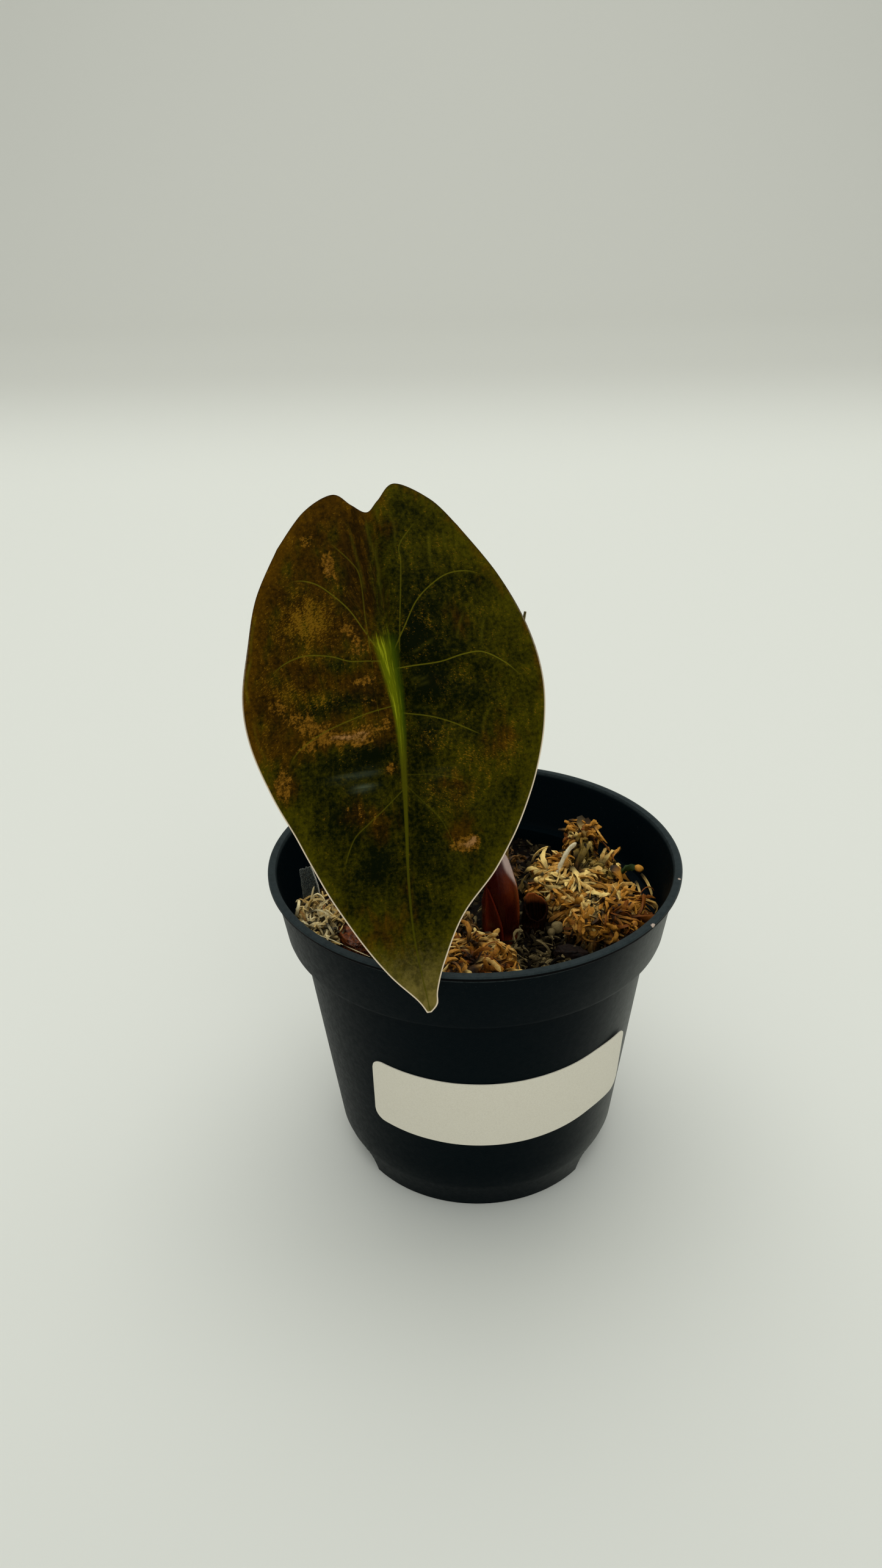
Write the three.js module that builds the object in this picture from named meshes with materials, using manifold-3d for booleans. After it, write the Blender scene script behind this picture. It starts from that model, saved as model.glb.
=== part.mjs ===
// A young alocasia in a round nursery pot: one hanging, shield-shaped leaf on an arching stalk,
// a rolled new leaf, loose moss on dark potting mix, and a blank sticker on the pot.
// Millimetres, +Z up. The origin is the centre of the pot's flat underside, and -Y is the front.

import * as THREE from 'three';
import { mergeVertices } from 'three/addons/utils/BufferGeometryUtils.js';
import Module from 'manifold-3d';

const wasm = await Module();
wasm.setup();

// Driving dimensions

const CLEARANCE = 0.3;

const POT = {
  height: 62,
  lipRadius: 38,
  lipWidth: 1.5,
  lipThickness: 1.0,
  bandTopRadius: 37,
  bandBottomRadius: 35.4,
  bandBottom: 49.3,
  bodyTopRadius: 32.8,
  baseRadius: 26.7,
  footRadius: 25.7,
  wall: 0.9,
  floorHeight: 5.2,
  floor: 1.2,
  middleRadius: 18.4,
  middleFlare: 0.7,
  lipRounding: 0.3,
  footRounding: 0.6,
  bandRounding: 1,
  segments: 56,
};

// Two wide drain arches, left and right, cut through the foot ring up to the raised edge of the floor
const ARCH = { count: 2, firstCentre: 90, innerRadius: 20, outerRadius: 30 };

// How far each arch reaches to either side, in degrees, up to a height
const ARCH_STEPS = [{ halfWidth: 41, height: 4 }, { halfWidth: 39.5, height: POT.floorHeight }];

const LABEL = {
  length: 51,
  height: 15.9,
  thickness: 0.3,
  middleHeight: 26.2,
  middleAngle: 11.1,
  cornerRadius: 2.3,
  liftedLength: 9,
  lift: 0.6,
  columns: 26,
  rows: 3,
};

const MIX = { bottom: 1.7, step: 6.9, clear: 0.5, top: 47.5, rings: 5, segments: 28 };

// The mix lies lowest in a hollow to the front right of the stalk
const HOLLOW = { x: 15, y: -11, halfWidth: 8, halfDepth: 7, fall: 1.3 };

const LEAF = {
  joint: new THREE.Vector3(-13.5, -18, 111.6),
  lean: 26,
  turn: 3,
  roll: 7,
  thickness: 0.7,
  columns: 20,
  rows: 32,
  sideDroop: 0.005,
  tipDroop: 0.0011,
  lobeDroop: 0.002,
  midribDepth: 1.1,
  midribWidth: 2.2,
  quilt: 0.42,
  plainMargin: 7,
  plainTip: 14,
};

// The blade's outline as seen square on: x to the right of the joint, y down towards the tip
const LEAF_LEFT = [
  [-14.2, -15.6], [-18.6, -8.7], [-21.2, -1.2], [-23.3, 6.4], [-23.3, 13.4], [-21.3, 21.3],
  [-18.1, 29.5], [-15.1, 37.6], [-11.2, 46], [-7.4, 52.4], [-3.7, 57], [-2.5, 59.2],
];
const LEAF_RIGHT = [
  [13.8, -15.1], [18.8, -6.9], [22.2, 1.5], [23.5, 9.4], [22.7, 16.8], [20.3, 24.2],
  [16.7, 31.3], [11.9, 38.1], [5.6, 44.6], [1.6, 51.4], [-0.2, 55.8], [-0.6, 58], [-1.8, 59.2],
];
const LEAF_TOP = [
  [-14.2, -15.6], [-9.4, -20.5], [-4.6, -22.5], [-1.9, -20.6], [0.3, -19.2], [2.2, -20.6], [5.2, -22.8],
  [10.3, -19.6], [13.8, -15.1],
];
const MIDRIB = [[-0.3, -19], [0, 0], [0.5, 12], [-0.6, 25], [-2.2, 39], [-2.6, 47.3], [-2, 58.6]];

// Where each pair of side veins leaves the midrib, and how steeply it then runs towards the tip
const VEINS = { starts: [-1, 5, 12, 22, 31, 41], slope: 0.14, firstSlope: -0.62, curl: 0.011 };

const STALK = {
  path: [
    [4.7, -6.5, 46.2], [4.6, -5.7, 55], [3.6, -4.2, 64.5],
    [1.2, 0.2, 79], [-2.6, 1.6, 94], [-7.6, -3.2, 104.6],
    [-11.6, -10.6, 109.4], [-13.2, -15.4, 110.6],
  ],
  radii: [2.3, 2.3, 1.75, 1.45, 1.15],
};

// The stalk's own sheathing base, which wraps the foot of the new leaf
const SHEATH = {
  path: [[5, -6.2, 46.4], [5.2, -5.8, 52], [4.9, -5.2, 58], [3.8, -4.3, 64.5]],
  radii: [2.9, 3.2, 3, 1.9],
};

const SPEAR = {
  path: [[5, -5, 51], [4.9, -4.2, 62], [5.4, -2.6, 80], [6.8, -1.2, 97], [8.9, -0.4, 109]],
  radii: [1.2, 1.35, 1.5, 1.1, 0.25],
};

// The thin pointed scale leaf that half wraps the sheathing base, on its front left
const SCALE_LEAF = {
  thickness: 0.6,
  bottom: 46.6,
  height: 12.8,
  middleAngle: -50,
  halfAngle: 54,
  narrowing: 0.85,
  gap: 0.45,
};

// What is left of an older leaf: a short tube, torn open towards the front so that its back stands higher
const OLD_BASE = {
  path: [[9.4, -4.4, 45.6], [10.8, -3.8, 49.2], [11.4, -3.2, 52.4]],
  outer: 2.3,
  inner: 1.65,
  depth: 4,
  tearSlope: 0.75,
};

const CORM = {
  centre: [5, -6.2, 38.6],
  radii: [5.4, 5.2, 7.3],
  shoulder: 0.3,
  roots: 6,
  rootLength: 19,
  rootRadius: 0.85,
  seed: 3,
};

// Moss clumps: the centre and half sizes of each lumpy core, and the sprigs that stand out of it
const CLUMPS = [
  {
    name: 'moss_heap', seed: 17, colour: 0xb98a45, sprigs: 34,
    cores: [[19, 7, 49.6, 8.4, 7.6, 4.6], [21.6, 14.6, 53.8, 2.9, 2.7, 5], [25, -4.2, 49.4, 6.2, 6, 4.6]],
  },
  {
    name: 'moss_front', seed: 23, colour: 0xb9843c, sprigs: 27,
    cores: [[-0.2, -21.4, 49, 6.4, 6.6, 4.2], [-10.2, -22.6, 48.8, 6, 5.4, 3.6], [0, -15.5, 49, 3.6, 4.4, 4]],
  },
  {
    name: 'moss_left', seed: 37, colour: 0xcdb98a, sprigs: 14,
    cores: [[-28.4, -8.6, 49.8, 3.5, 7, 4.2]],
  },
  {
    name: 'moss_middle', seed: 71, colour: 0x9a7a40, sprigs: 14,
    cores: [[-8.8, -6, 48.2, 8.6, 8, 3.6]],
  },
  {
    name: 'moss_back', seed: 53, colour: 0xb58a4c, sprigs: 26,
    cores: [[-10, 18.6, 48.6, 14, 10, 4.2], [-22.6, 6, 48.4, 7.4, 7, 3.8], [3, 20.6, 46.6, 7.5, 5.4, 2.6]],
  },
];
const SPRIG = {
  minLength: 4.5,
  maxLength: 8,
  baseRadius: 1.1,
  tipRadius: 0.4,
  rise: 0.42,
  swing: 1.6,
  spread: 2.4,
};
const GOLDEN_TURN = 0.618034;

const BARK = [
  {
    name: 'bark_chip_left', seed: 5, colour: 0x6a2c12,
    spot: [-21.8, -11.2, 50.9], size: [10.5, 5.6, 4.4], turn: [10, -6, -54],
  },
  {
    name: 'bark_chip_right', seed: 8, colour: 0x2a1a12,
    spot: [17.2, -13.2, 48.9], size: [6.4, 4.6, 2.6], turn: [-8, 14, 24],
  },
];

const ROOT_BIT = {
  path: [[15.6, 5.7, 53], [16.8, 6.6, 56], [18.1, 7.6, 58.2], [19.6, 7.9, 59.7]],
  radius: 0.5,
};

const DRY_STRIP = {
  foot: [-31, -1.4, 50.2],
  height: 9.5,
  width: 3.4,
  thickness: 0.6,
  bow: 1.2,
  curl: 0.09,
  turn: [-8, 0, 30],
};

// Small helpers

const radians = THREE.MathUtils.degToRad;

/** A repeatable random number source between 0 and 1. */
function seeded(seed) {
  let state = seed * 2654435761 % 4294967296;
  return () => {
    state = (state * 1664525 + 1013904223) % 4294967296;
    return state / 4294967296;
  };
}

/** Eases from 0 to 1 as x does. */
function smooth(x) {
  const t = THREE.MathUtils.clamp(x, 0, 1);
  return t * t * (3 - 2 * t);
}

/** Reads a value from evenly spaced entries of a list. */
function along(list, t) {
  const place = THREE.MathUtils.clamp(t, 0, 1) * (list.length - 1);
  const index = Math.min(Math.floor(place), list.length - 2);
  return THREE.MathUtils.lerp(list[index], list[index + 1], smooth(place - index));
}

/** The geometry with shared vertices merged and collapsed triangles dropped. */
function welded(geometry, tolerance = 1e-4) {
  const bare = geometry.clone();
  for (const name of Object.keys(bare.attributes)) {
    if (name !== 'position') bare.deleteAttribute(name);
  }
  const merged = mergeVertices(bare, tolerance);
  const index = merged.index.array;
  const kept = [];
  for (let i = 0; i < index.length; i += 3) {
    const [a, b, c] = [index[i], index[i + 1], index[i + 2]];
    if (a !== b && b !== c && c !== a) kept.push(a, b, c);
  }
  merged.setIndex(kept);
  return merged;
}

/** A closed geometry as a solid that can be joined and cut. */
function toSolid(geometry) {
  const mesh = welded(geometry);
  return new wasm.Manifold(new wasm.Mesh({
    numProp: 3,
    vertProperties: new Float32Array(mesh.attributes.position.array),
    triVerts: new Uint32Array(mesh.index.array),
  }));
}

/** The solid's largest piece as a geometry. */
function toGeometry(solid) {
  const pieces = solid.decompose().sort((a, b) => b.volume() - a.volume());
  const mesh = pieces[0].getMesh();
  const geometry = new THREE.BufferGeometry();
  geometry.setAttribute('position', new THREE.BufferAttribute(new Float32Array(mesh.vertProperties), 3));
  geometry.setIndex(new THREE.BufferAttribute(new Uint32Array(mesh.triVerts), 1));
  return welded(geometry);
}

/** All the solids as one. */
function joined(solids) {
  return solids.reduce((sum, solid) => sum.add(solid));
}

/** Moves every vertex of a geometry by a function of its position. */
function reshaped(geometry, move) {
  const position = geometry.attributes.position;
  const point = new THREE.Vector3();
  for (let i = 0; i < position.count; i += 1) {
    point.fromBufferAttribute(position, i);
    move(point);
    position.setXYZ(i, point.x, point.y, point.z);
  }
  return geometry;
}

/** A body of revolution about Z, from [radius, height] pairs. */
function turned(profile, segments) {
  const points = profile.map(([r, z]) => new THREE.Vector2(r, z));
  return new THREE.LatheGeometry(points, segments).rotateX(Math.PI / 2);
}

/** A closed tube along points, whose radius depends on the share of its length. */
function tube(path, radiusAt, sides, rows) {
  const curve = new THREE.CatmullRomCurve3(path.map((p) => new THREE.Vector3(...p)));
  const frames = curve.computeFrenetFrames(rows);
  const centres = curve.getSpacedPoints(rows);
  const body = new THREE.CylinderGeometry(1, 1, 1, sides, rows);
  return reshaped(body, (p) => {
    const row = Math.round((p.y + 0.5) * rows);
    const size = radiusAt(row / rows);
    const across = frames.normals[row].clone().multiplyScalar(p.x * size);
    const deep = frames.binormals[row].clone().multiplyScalar(-p.z * size);
    p.copy(centres[row]).add(across).add(deep);
  });
}

/** A closed sheet from a grid of unit coordinates: both faces are split into triangles alike. */
function sheet(columns, rows, pointAt, thickness) {
  const grid = new THREE.PlaneGeometry(1, 1, columns, rows);
  const front = [];
  const plane = grid.attributes.position;
  for (let i = 0; i < plane.count; i += 1) front.push(pointAt(plane.getX(i) + 0.5, 0.5 - plane.getY(i)));
  const surface = new THREE.BufferGeometry().setFromPoints(front);
  surface.setIndex(Array.from(grid.index.array));
  surface.computeVertexNormals();
  const normals = surface.attributes.normal;
  const back = front.map((p, i) => {
    const normal = new THREE.Vector3().fromBufferAttribute(normals, i);
    return p.clone().addScaledVector(normal, -thickness);
  });
  const count = front.length;
  const triangles = Array.from(grid.index.array);
  for (let i = 0; i < grid.index.array.length; i += 3) {
    const [a, b, c] = grid.index.array.slice(i, i + 3);
    triangles.push(a + count, c + count, b + count);
  }
  const at = (column, row) => row * (columns + 1) + column;
  const edge = [];
  for (let c = 0; c < columns; c += 1) edge.push(at(c, 0));
  for (let r = 0; r < rows; r += 1) edge.push(at(columns, r));
  for (let c = columns; c > 0; c -= 1) edge.push(at(c, rows));
  for (let r = rows; r > 0; r -= 1) edge.push(at(0, r));
  edge.forEach((a, i) => {
    const b = edge[(i + 1) % edge.length];
    triangles.push(a, b, b + count, a, b + count, a + count);
  });
  const closed = new THREE.BufferGeometry().setFromPoints([...front, ...back]);
  closed.setIndex(triangles);
  return closed;
}

/** Turns a geometry by angles in degrees, and then moves it to its spot. */
function placed(geometry, turn, spot) {
  const euler = new THREE.Euler(...turn.map(radians), 'ZXY');
  geometry.applyMatrix4(new THREE.Matrix4().makeRotationFromEuler(euler));
  return geometry.translate(...spot);
}

// The pot

const bodyRadiusAt = (z) => (
  THREE.MathUtils.mapLinear(z, 0, POT.bandBottom, POT.baseRadius, POT.bodyTopRadius)
);
const bandRadiusAt = (z) => THREE.MathUtils.mapLinear(
  z, POT.bandBottom, POT.height - POT.lipThickness, POT.bandBottomRadius, POT.bandTopRadius,
);

/** The pot's inner radius at a height, for what fills it. */
function innerRadiusAt(z) {
  const step = POT.bandBottom + POT.wall;
  return (z < step ? bodyRadiusAt(Math.min(z, POT.bandBottom)) : bandRadiusAt(z)) - POT.wall;
}

/** Half of the pot's section: up the outside, over the lip and down the inside to the floor. */
function potProfile() {
  const { height, lipRadius, lipWidth, bandBottom, bandBottomRadius, bandTopRadius } = POT;
  const { bodyTopRadius, footRadius, wall, floor, floorHeight, middleRadius, middleFlare } = POT;
  const { lipRounding, footRounding, bandRounding } = POT;
  const floorTop = floorHeight + floor;
  const underLip = height - POT.lipThickness;
  const step = bandBottom + wall;
  return [
    [0, 0],
    [middleRadius, 0],
    [middleRadius + middleFlare, floorHeight],
    [bodyRadiusAt(floorHeight) - wall, floorHeight],
    [footRadius - wall, 0],
    [footRadius - 0.4 * footRounding, 0],
    [footRadius, footRounding],
    [bodyRadiusAt(floorTop), floorTop],
    [bodyTopRadius, bandBottom - 0.5 * bandRounding],
    [bodyTopRadius + 0.4 * bandRounding, bandBottom],
    [bandBottomRadius - 0.7 * bandRounding, bandBottom + 0.15 * bandRounding],
    [bandBottomRadius, bandBottom + bandRounding],
    [bandTopRadius, underLip],
    [lipRadius, underLip],
    [lipRadius, height - lipRounding],
    [lipRadius - lipRounding, height],
    [lipRadius - lipWidth + lipRounding, height],
    [lipRadius - lipWidth, height - lipRounding],
    [bandTopRadius - wall, underLip - footRounding],
    [bandBottomRadius - wall, step + bandRounding],
    [bandBottomRadius - wall - 0.6 * bandRounding, step + 0.1 * bandRounding],
    [bodyTopRadius - wall + 0.3 * bandRounding, step - 0.1 * bandRounding],
    [bodyTopRadius - wall, bandBottom - 0.5 * bandRounding],
    [bodyRadiusAt(floorTop + footRounding) - wall, floorTop + footRounding],
    [bodyRadiusAt(floorTop) - wall - 0.5, floorTop],
    [middleRadius + middleFlare - wall, floorTop],
    [middleRadius - wall, floor],
    [0, floor],
  ];
}

/** One step of a drain arch as a solid to cut away: a sector of a ring. */
function archCutter(centre, { halfWidth, height }) {
  const half = radians(halfWidth);
  const shape = new THREE.Shape();
  shape.absarc(0, 0, ARCH.outerRadius, -half, half, false);
  shape.absarc(0, 0, ARCH.innerRadius, half, -half, true);
  const depth = height + 1;
  const cutter = new THREE.ExtrudeGeometry(shape, { depth, bevelEnabled: false, curveSegments: 12 });
  return toSolid(cutter.translate(0, 0, -1).rotateZ(radians(centre - 90)));
}

function potGeometry() {
  let pot = toSolid(turned(potProfile(), POT.segments));
  for (let i = 0; i < ARCH.count; i += 1) {
    const centre = ARCH.firstCentre + i * 360 / ARCH.count;
    for (const step of ARCH_STEPS) pot = pot.subtract(archCutter(centre, step));
  }
  return toGeometry(pot);
}

// The sticker: a straight strip wrapped on the body's cone, so its ends climb. Its right end lifts off

function labelGeometry() {
  const { cornerRadius, middleHeight, thickness, liftedLength } = LABEL;
  const taper = Math.atan2(POT.bodyTopRadius - POT.baseRadius, POT.bandBottom);
  const unrolledRadius = bodyRadiusAt(middleHeight) / Math.sin(taper);
  const half = LABEL.length / 2;
  const crowding = 0.41 * Math.PI;
  const columnPlace = (s) => half * Math.sin((2 * s - 1) * crowding) / Math.sin(crowding);
  const cornerDrop = (x) => {
    const intoCorner = Math.max(Math.abs(x) - (half - cornerRadius), 0);
    return cornerRadius - Math.sqrt(Math.max(cornerRadius ** 2 - intoCorner ** 2, 0));
  };
  return sheet(LABEL.columns, LABEL.rows, (s, t) => {
    const x = columnPlace(s);
    const fromApex = unrolledRadius + (LABEL.height / 2 - cornerDrop(x)) * (1 - 2 * t);
    const z = middleHeight + (Math.hypot(x, fromApex) - unrolledRadius) * Math.cos(taper);
    const lift = LABEL.lift * smooth((x - half + liftedLength) / liftedLength);
    const radius = bodyRadiusAt(z) + CLEARANCE + thickness + lift;
    const angle = radians(LABEL.middleAngle) + Math.atan2(x, fromApex) / Math.sin(taper);
    return new THREE.Vector3(radius * Math.sin(angle), -radius * Math.cos(angle), z);
  }, thickness);
}

// The leaf blade

/** The leaf's own directions: out of its upper face, down to its tip, and to its right. */
const leafAxes = (() => {
  const [lean, turn, roll] = [LEAF.lean, LEAF.turn, LEAF.roll].map(radians);
  const facing = Math.cos(lean);
  const normal = new THREE.Vector3(Math.sin(turn) * facing, -Math.cos(turn) * facing, Math.sin(lean));
  const level = new THREE.Vector3(Math.cos(turn), Math.sin(turn), 0);
  const up = new THREE.Vector3().crossVectors(normal, level);
  const down = up.clone().multiplyScalar(-Math.cos(roll)).addScaledVector(level, Math.sin(roll));
  const right = level.clone().multiplyScalar(Math.cos(roll)).addScaledVector(up, Math.sin(roll));
  return { normal, down, right };
})();

const splineThrough = (points) => new THREE.SplineCurve(points.map(([x, y]) => new THREE.Vector2(x, y)));
const leafEdges = {
  left: splineThrough(LEAF_LEFT),
  right: splineThrough(LEAF_RIGHT),
  top: splineThrough(LEAF_TOP),
};
const midribSpline = new THREE.CatmullRomCurve3(MIDRIB.map(([x, y]) => new THREE.Vector3(x, y, 0)));
const midribPoints = midribSpline.getSpacedPoints(80);

/** How far the midrib has strayed sideways at a distance down the leaf. */
function midribAt(y) {
  const after = midribPoints.findIndex((p) => p.y >= y);
  if (after <= 0) return midribPoints[after < 0 ? midribPoints.length - 1 : 0].x;
  const [a, b] = [midribPoints[after - 1], midribPoints[after]];
  return THREE.MathUtils.mapLinear(y, a.y, b.y, a.x, b.x);
}

/** The blade's rise off its flat plane: drooping sides, a sunken midrib and quilting between the veins. */
function leafRelief(x, y) {
  const side = x - midribAt(y);
  const reach = Math.abs(side);
  const droop = LEAF.sideDroop * side * side + (y > 0 ? LEAF.tipDroop : LEAF.lobeDroop) * y * y;
  const tip = MIDRIB[MIDRIB.length - 1][1];
  const valley = LEAF.midribDepth * Math.exp(-((side / LEAF.midribWidth) ** 2)) * smooth(2 * (tip - y) / tip);
  const { starts, slope, firstSlope, curl } = VEINS;
  const towardsLobes = y < starts[0] - 0.5 * reach;
  const leaving = y - reach * (towardsLobes ? firstSlope : slope) - curl * reach * reach;
  let panel = 0;
  for (let i = 0; i < starts.length - 1; i += 1) {
    panel += THREE.MathUtils.clamp((leaving - starts[i]) / (starts[i + 1] - starts[i]), 0, 1);
  }
  const pillow = Math.sin(Math.PI * (panel % 1)) ** 2;
  const halfBreadth = LEAF_RIGHT[3][0];
  const fade = smooth(2 * reach / LEAF.plainMargin) * smooth((halfBreadth - reach) / LEAF.plainMargin)
    * smooth((tip - LEAF.plainTip / 2 - y) / LEAF.plainTip);
  return LEAF.quilt * pillow * fade - valley - droop;
}

/** A point of the blade's upper face, from unit coordinates across and down it. */
function leafPoint(s, t) {
  const left = leafEdges.left.getPointAt(t);
  const right = leafEdges.right.getPointAt(t);
  const top = leafEdges.top.getPointAt(s);
  const chord = leafEdges.left.getPoint(0).lerp(leafEdges.right.getPoint(0), s);
  const flat = left.lerp(right, s).add(top.sub(chord).multiplyScalar((1 - t) ** 3));
  return LEAF.joint.clone()
    .addScaledVector(leafAxes.right, flat.x)
    .addScaledVector(leafAxes.down, flat.y)
    .addScaledVector(leafAxes.normal, leafRelief(flat.x, flat.y));
}

const bladeGeometry = () => sheet(LEAF.columns, LEAF.rows, leafPoint, LEAF.thickness);

// Stalk, new leaf, scale leaf, old leaf base and corm. Each can be made a little larger to cut its own hole

const grownTube = (path, radii, grow, sides, rows) => (
  toSolid(tube(path, (t) => along(radii, t) + grow, sides, rows))
);

const spearSolid = (grow = 0) => grownTube(SPEAR.path, SPEAR.radii, grow, 8, 12);

const stalkSolid = (grow = 0) => grownTube(STALK.path, STALK.radii, grow, 10, 20)
  .add(grownTube(SHEATH.path, SHEATH.radii, grow, 12, 8));

/** The scale leaf: a pointed strip that follows the sheathing base's surface at a small distance. */
function scaleLeafSolid(grow = 0) {
  const { bottom, height, gap, thickness, middleAngle, halfAngle, narrowing } = SCALE_LEAF;
  const spine = new THREE.CatmullRomCurve3(SHEATH.path.map((p) => new THREE.Vector3(...p)));
  const [foot, head] = [spine.points[0].z, spine.points[SHEATH.path.length - 1].z];
  return toSolid(sheet(8, 6, (s, t) => {
    const up = (1 - t) * (height + 2 * grow) - grow;
    const share = THREE.MathUtils.clamp((bottom + up - foot) / (head - foot), 0, 1);
    const centre = spine.getPoint(share);
    const radius = along(SHEATH.radii, share) + gap + thickness + grow;
    const half = radians(halfAngle) * (1 - narrowing * (up / height) ** 3) + grow / radius;
    const angle = radians(middleAngle) + (2 * s - 1) * half;
    const [x, y] = [centre.x + radius * Math.sin(angle), centre.y - radius * Math.cos(angle)];
    return new THREE.Vector3(x, y, bottom + up);
  }, thickness + 2 * grow));
}

/** The old leaf base: a tube with a slanted mouth and a blind bore. */
function oldBaseSolid(grow = 0) {
  const [, middle, mouth] = OLD_BASE.path.map((p) => new THREE.Vector3(...p));
  const torn = (path, radius, rows) => toSolid(reshaped(tube(path, () => radius, 10, rows), (p) => {
    p.z += OLD_BASE.tearSlope * (p.y - mouth.y) * smooth((p.z - middle.z) / (mouth.z - middle.z));
  }));
  const outside = torn(OLD_BASE.path, OLD_BASE.outer + grow, 4);
  if (grow > 0) return outside;
  const axis = mouth.clone().sub(middle).normalize();
  const end = (distance) => mouth.clone().addScaledVector(axis, distance).toArray();
  return outside.subtract(torn([end(-OLD_BASE.depth), end(0), end(2)], OLD_BASE.inner, 2));
}

/** Everything that grows up out of the corm. */
const shootSolids = (grow) => [stalkSolid(grow), scaleLeafSolid(grow), oldBaseSolid(grow), spearSolid(grow)];

/** Roots leave the corm all round and run down and outwards through the mix. */
function cormSolid(grow = 0) {
  const body = new THREE.SphereGeometry(1, 12, 9).rotateX(Math.PI / 2);
  reshaped(body, (p) => {
    const narrowTop = 1 - CORM.shoulder * Math.max(p.z, 0);
    const [a, b, c] = CORM.radii.map((r) => r + grow);
    p.set(p.x * a * narrowTop, p.y * b * narrowTop, p.z * c);
  });
  body.translate(...CORM.centre);
  const random = seeded(CORM.seed);
  const solids = [toSolid(body)];
  for (let i = 0; i < CORM.roots; i += 1) {
    const angle = (i + 0.6 * random()) / CORM.roots * Math.PI * 2;
    const [reach, fall, sway] = [0.5 + 0.25 * random(), 0.75 + 0.2 * random(), 0.5 * (random() - 0.5)];
    const points = [0.1, 0.4, 0.7, 1].map((t) => {
      const out = 2.6 + CORM.rootLength * reach * t;
      const turn = angle + sway * t;
      return [
        CORM.centre[0] + out * Math.cos(turn),
        CORM.centre[1] + out * Math.sin(turn),
        CORM.centre[2] - 3 - CORM.rootLength * fall * t * t - 2 * t,
      ];
    });
    solids.push(toSolid(tube(points, (t) => (1 - 0.5 * t) * CORM.rootRadius + grow, 5, 5)));
  }
  return joined(solids);
}

// Potting mix

/** The mix's top surface: a shallow uneven bed, lowest in front of the heap of moss. */
function mixTop(x, y) {
  const waves = 0.55 * Math.sin(0.42 * x + 0.8) * Math.cos(0.36 * y) + 0.35 * Math.sin(0.95 * x - 0.7 * y);
  const away = ((x - HOLLOW.x) / HOLLOW.halfWidth) ** 2 + ((y - HOLLOW.y) / HOLLOW.halfDepth) ** 2;
  return MIX.top + waves - HOLLOW.fall * Math.exp(-away);
}

/** The mix up to its top surface raised by some height, with nothing cut out of it. */
function mixBody(raise = 0) {
  const outer = (z) => innerRadiusAt(z) - CLEARANCE;
  const [low, high] = [MIX.step + 8, MIX.top - 3];
  const middle = POT.middleRadius - POT.wall - MIX.clear;
  const side = [[outer(MIX.step) - 0.6, MIX.step], [outer(low), low], [outer(high), high]];
  const profile = [[0, MIX.bottom], [middle, MIX.bottom], [middle + POT.middleFlare, MIX.step], ...side];
  for (let i = 0; i <= MIX.rings; i += 1) {
    profile.push([outer(MIX.top) * (1 - i / MIX.rings), MIX.top]);
  }
  const body = turned(profile, MIX.segments);
  return toSolid(reshaped(body, (p) => {
    if (p.z > MIX.top - 1) p.z = mixTop(p.x, p.y) + raise;
  }));
}

function mixGeometry() {
  return toGeometry(mixBody().subtract(joined([cormSolid(CLEARANCE), ...shootSolids(CLEARANCE)])));
}

// Moss

/** A three-sided sprig that rises, bends over and tapers. */
function sprig(root, heading, random, grow) {
  const length = THREE.MathUtils.lerp(SPRIG.minLength, SPRIG.maxLength, random());
  const rise = length * SPRIG.rise * (0.4 + random());
  const swing = SPRIG.swing * (random() - 0.5);
  const points = [0, 0.4, 0.75, 1].map((t) => {
    const turn = heading + swing * t;
    const out = 0.85 * length * t;
    const [x, y] = [root[0] + out * Math.cos(turn), root[1] + out * Math.sin(turn)];
    return [x, y, root[2] + rise * Math.sin(2.2 * t)];
  });
  return grownTube(points, [SPRIG.baseRadius, SPRIG.tipRadius], grow, 3, 2);
}

/** A clump of moss: lumpy cores with sprigs spread over them in a sunflower's order. */
function clumpSolid({ cores, sprigs, seed }, grow = 0) {
  const random = seeded(seed);
  const solids = cores.map(([x, y, z, a, b, c], k) => {
    const lump = new THREE.SphereGeometry(1, 10, 6).rotateX(Math.PI / 2);
    reshaped(lump, (p) => {
      const broad = 0.13 * Math.sin(5 * p.x + k) * Math.cos(4 * p.y + 2 * k);
      const bump = 1 + broad + 0.08 * Math.sin(9 * p.y + 4 * p.z);
      p.set(p.x * (a * bump + grow) + x, p.y * (b * bump + grow) + y, p.z * (c * bump + grow) + z);
    });
    return toSolid(lump);
  });
  for (let i = 0; i < sprigs; i += 1) {
    const [x, y, z, a, b, c] = cores[i % cores.length];
    const around = (i * GOLDEN_TURN + 0.2 * random()) * Math.PI * 2;
    const out = 0.85 * Math.sqrt((i + 0.5) / sprigs);
    const rootHeight = z + 0.75 * c * Math.sqrt(1 - out * out);
    const root = [x + a * out * Math.cos(around), y + b * out * Math.sin(around), rootHeight];
    solids.push(sprig(root, around + SPRIG.spread * (random() - 0.5), random, grow));
  }
  return joined(solids);
}

/** The space inside the pot that moss may fill. Beside the mix it is a little narrower than the mix. */
function insideWall() {
  const beside = 2 * CLEARANCE + 0.1;
  const [bottom, step, top] = [MIX.top - 7, POT.bandBottom, POT.height - 2];
  const profile = [
    [0, bottom],
    [innerRadiusAt(bottom) - beside, bottom],
    [innerRadiusAt(MIX.top) - beside, MIX.top + 1.2],
    [innerRadiusAt(step) - CLEARANCE, step + 0.8],
    [innerRadiusAt(step + 2) - CLEARANCE - 0.2, step + 2.2],
    [innerRadiusAt(top) - CLEARANCE - 0.1, top],
    [0, top],
  ];
  return toSolid(turned(profile, POT.segments));
}

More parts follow.
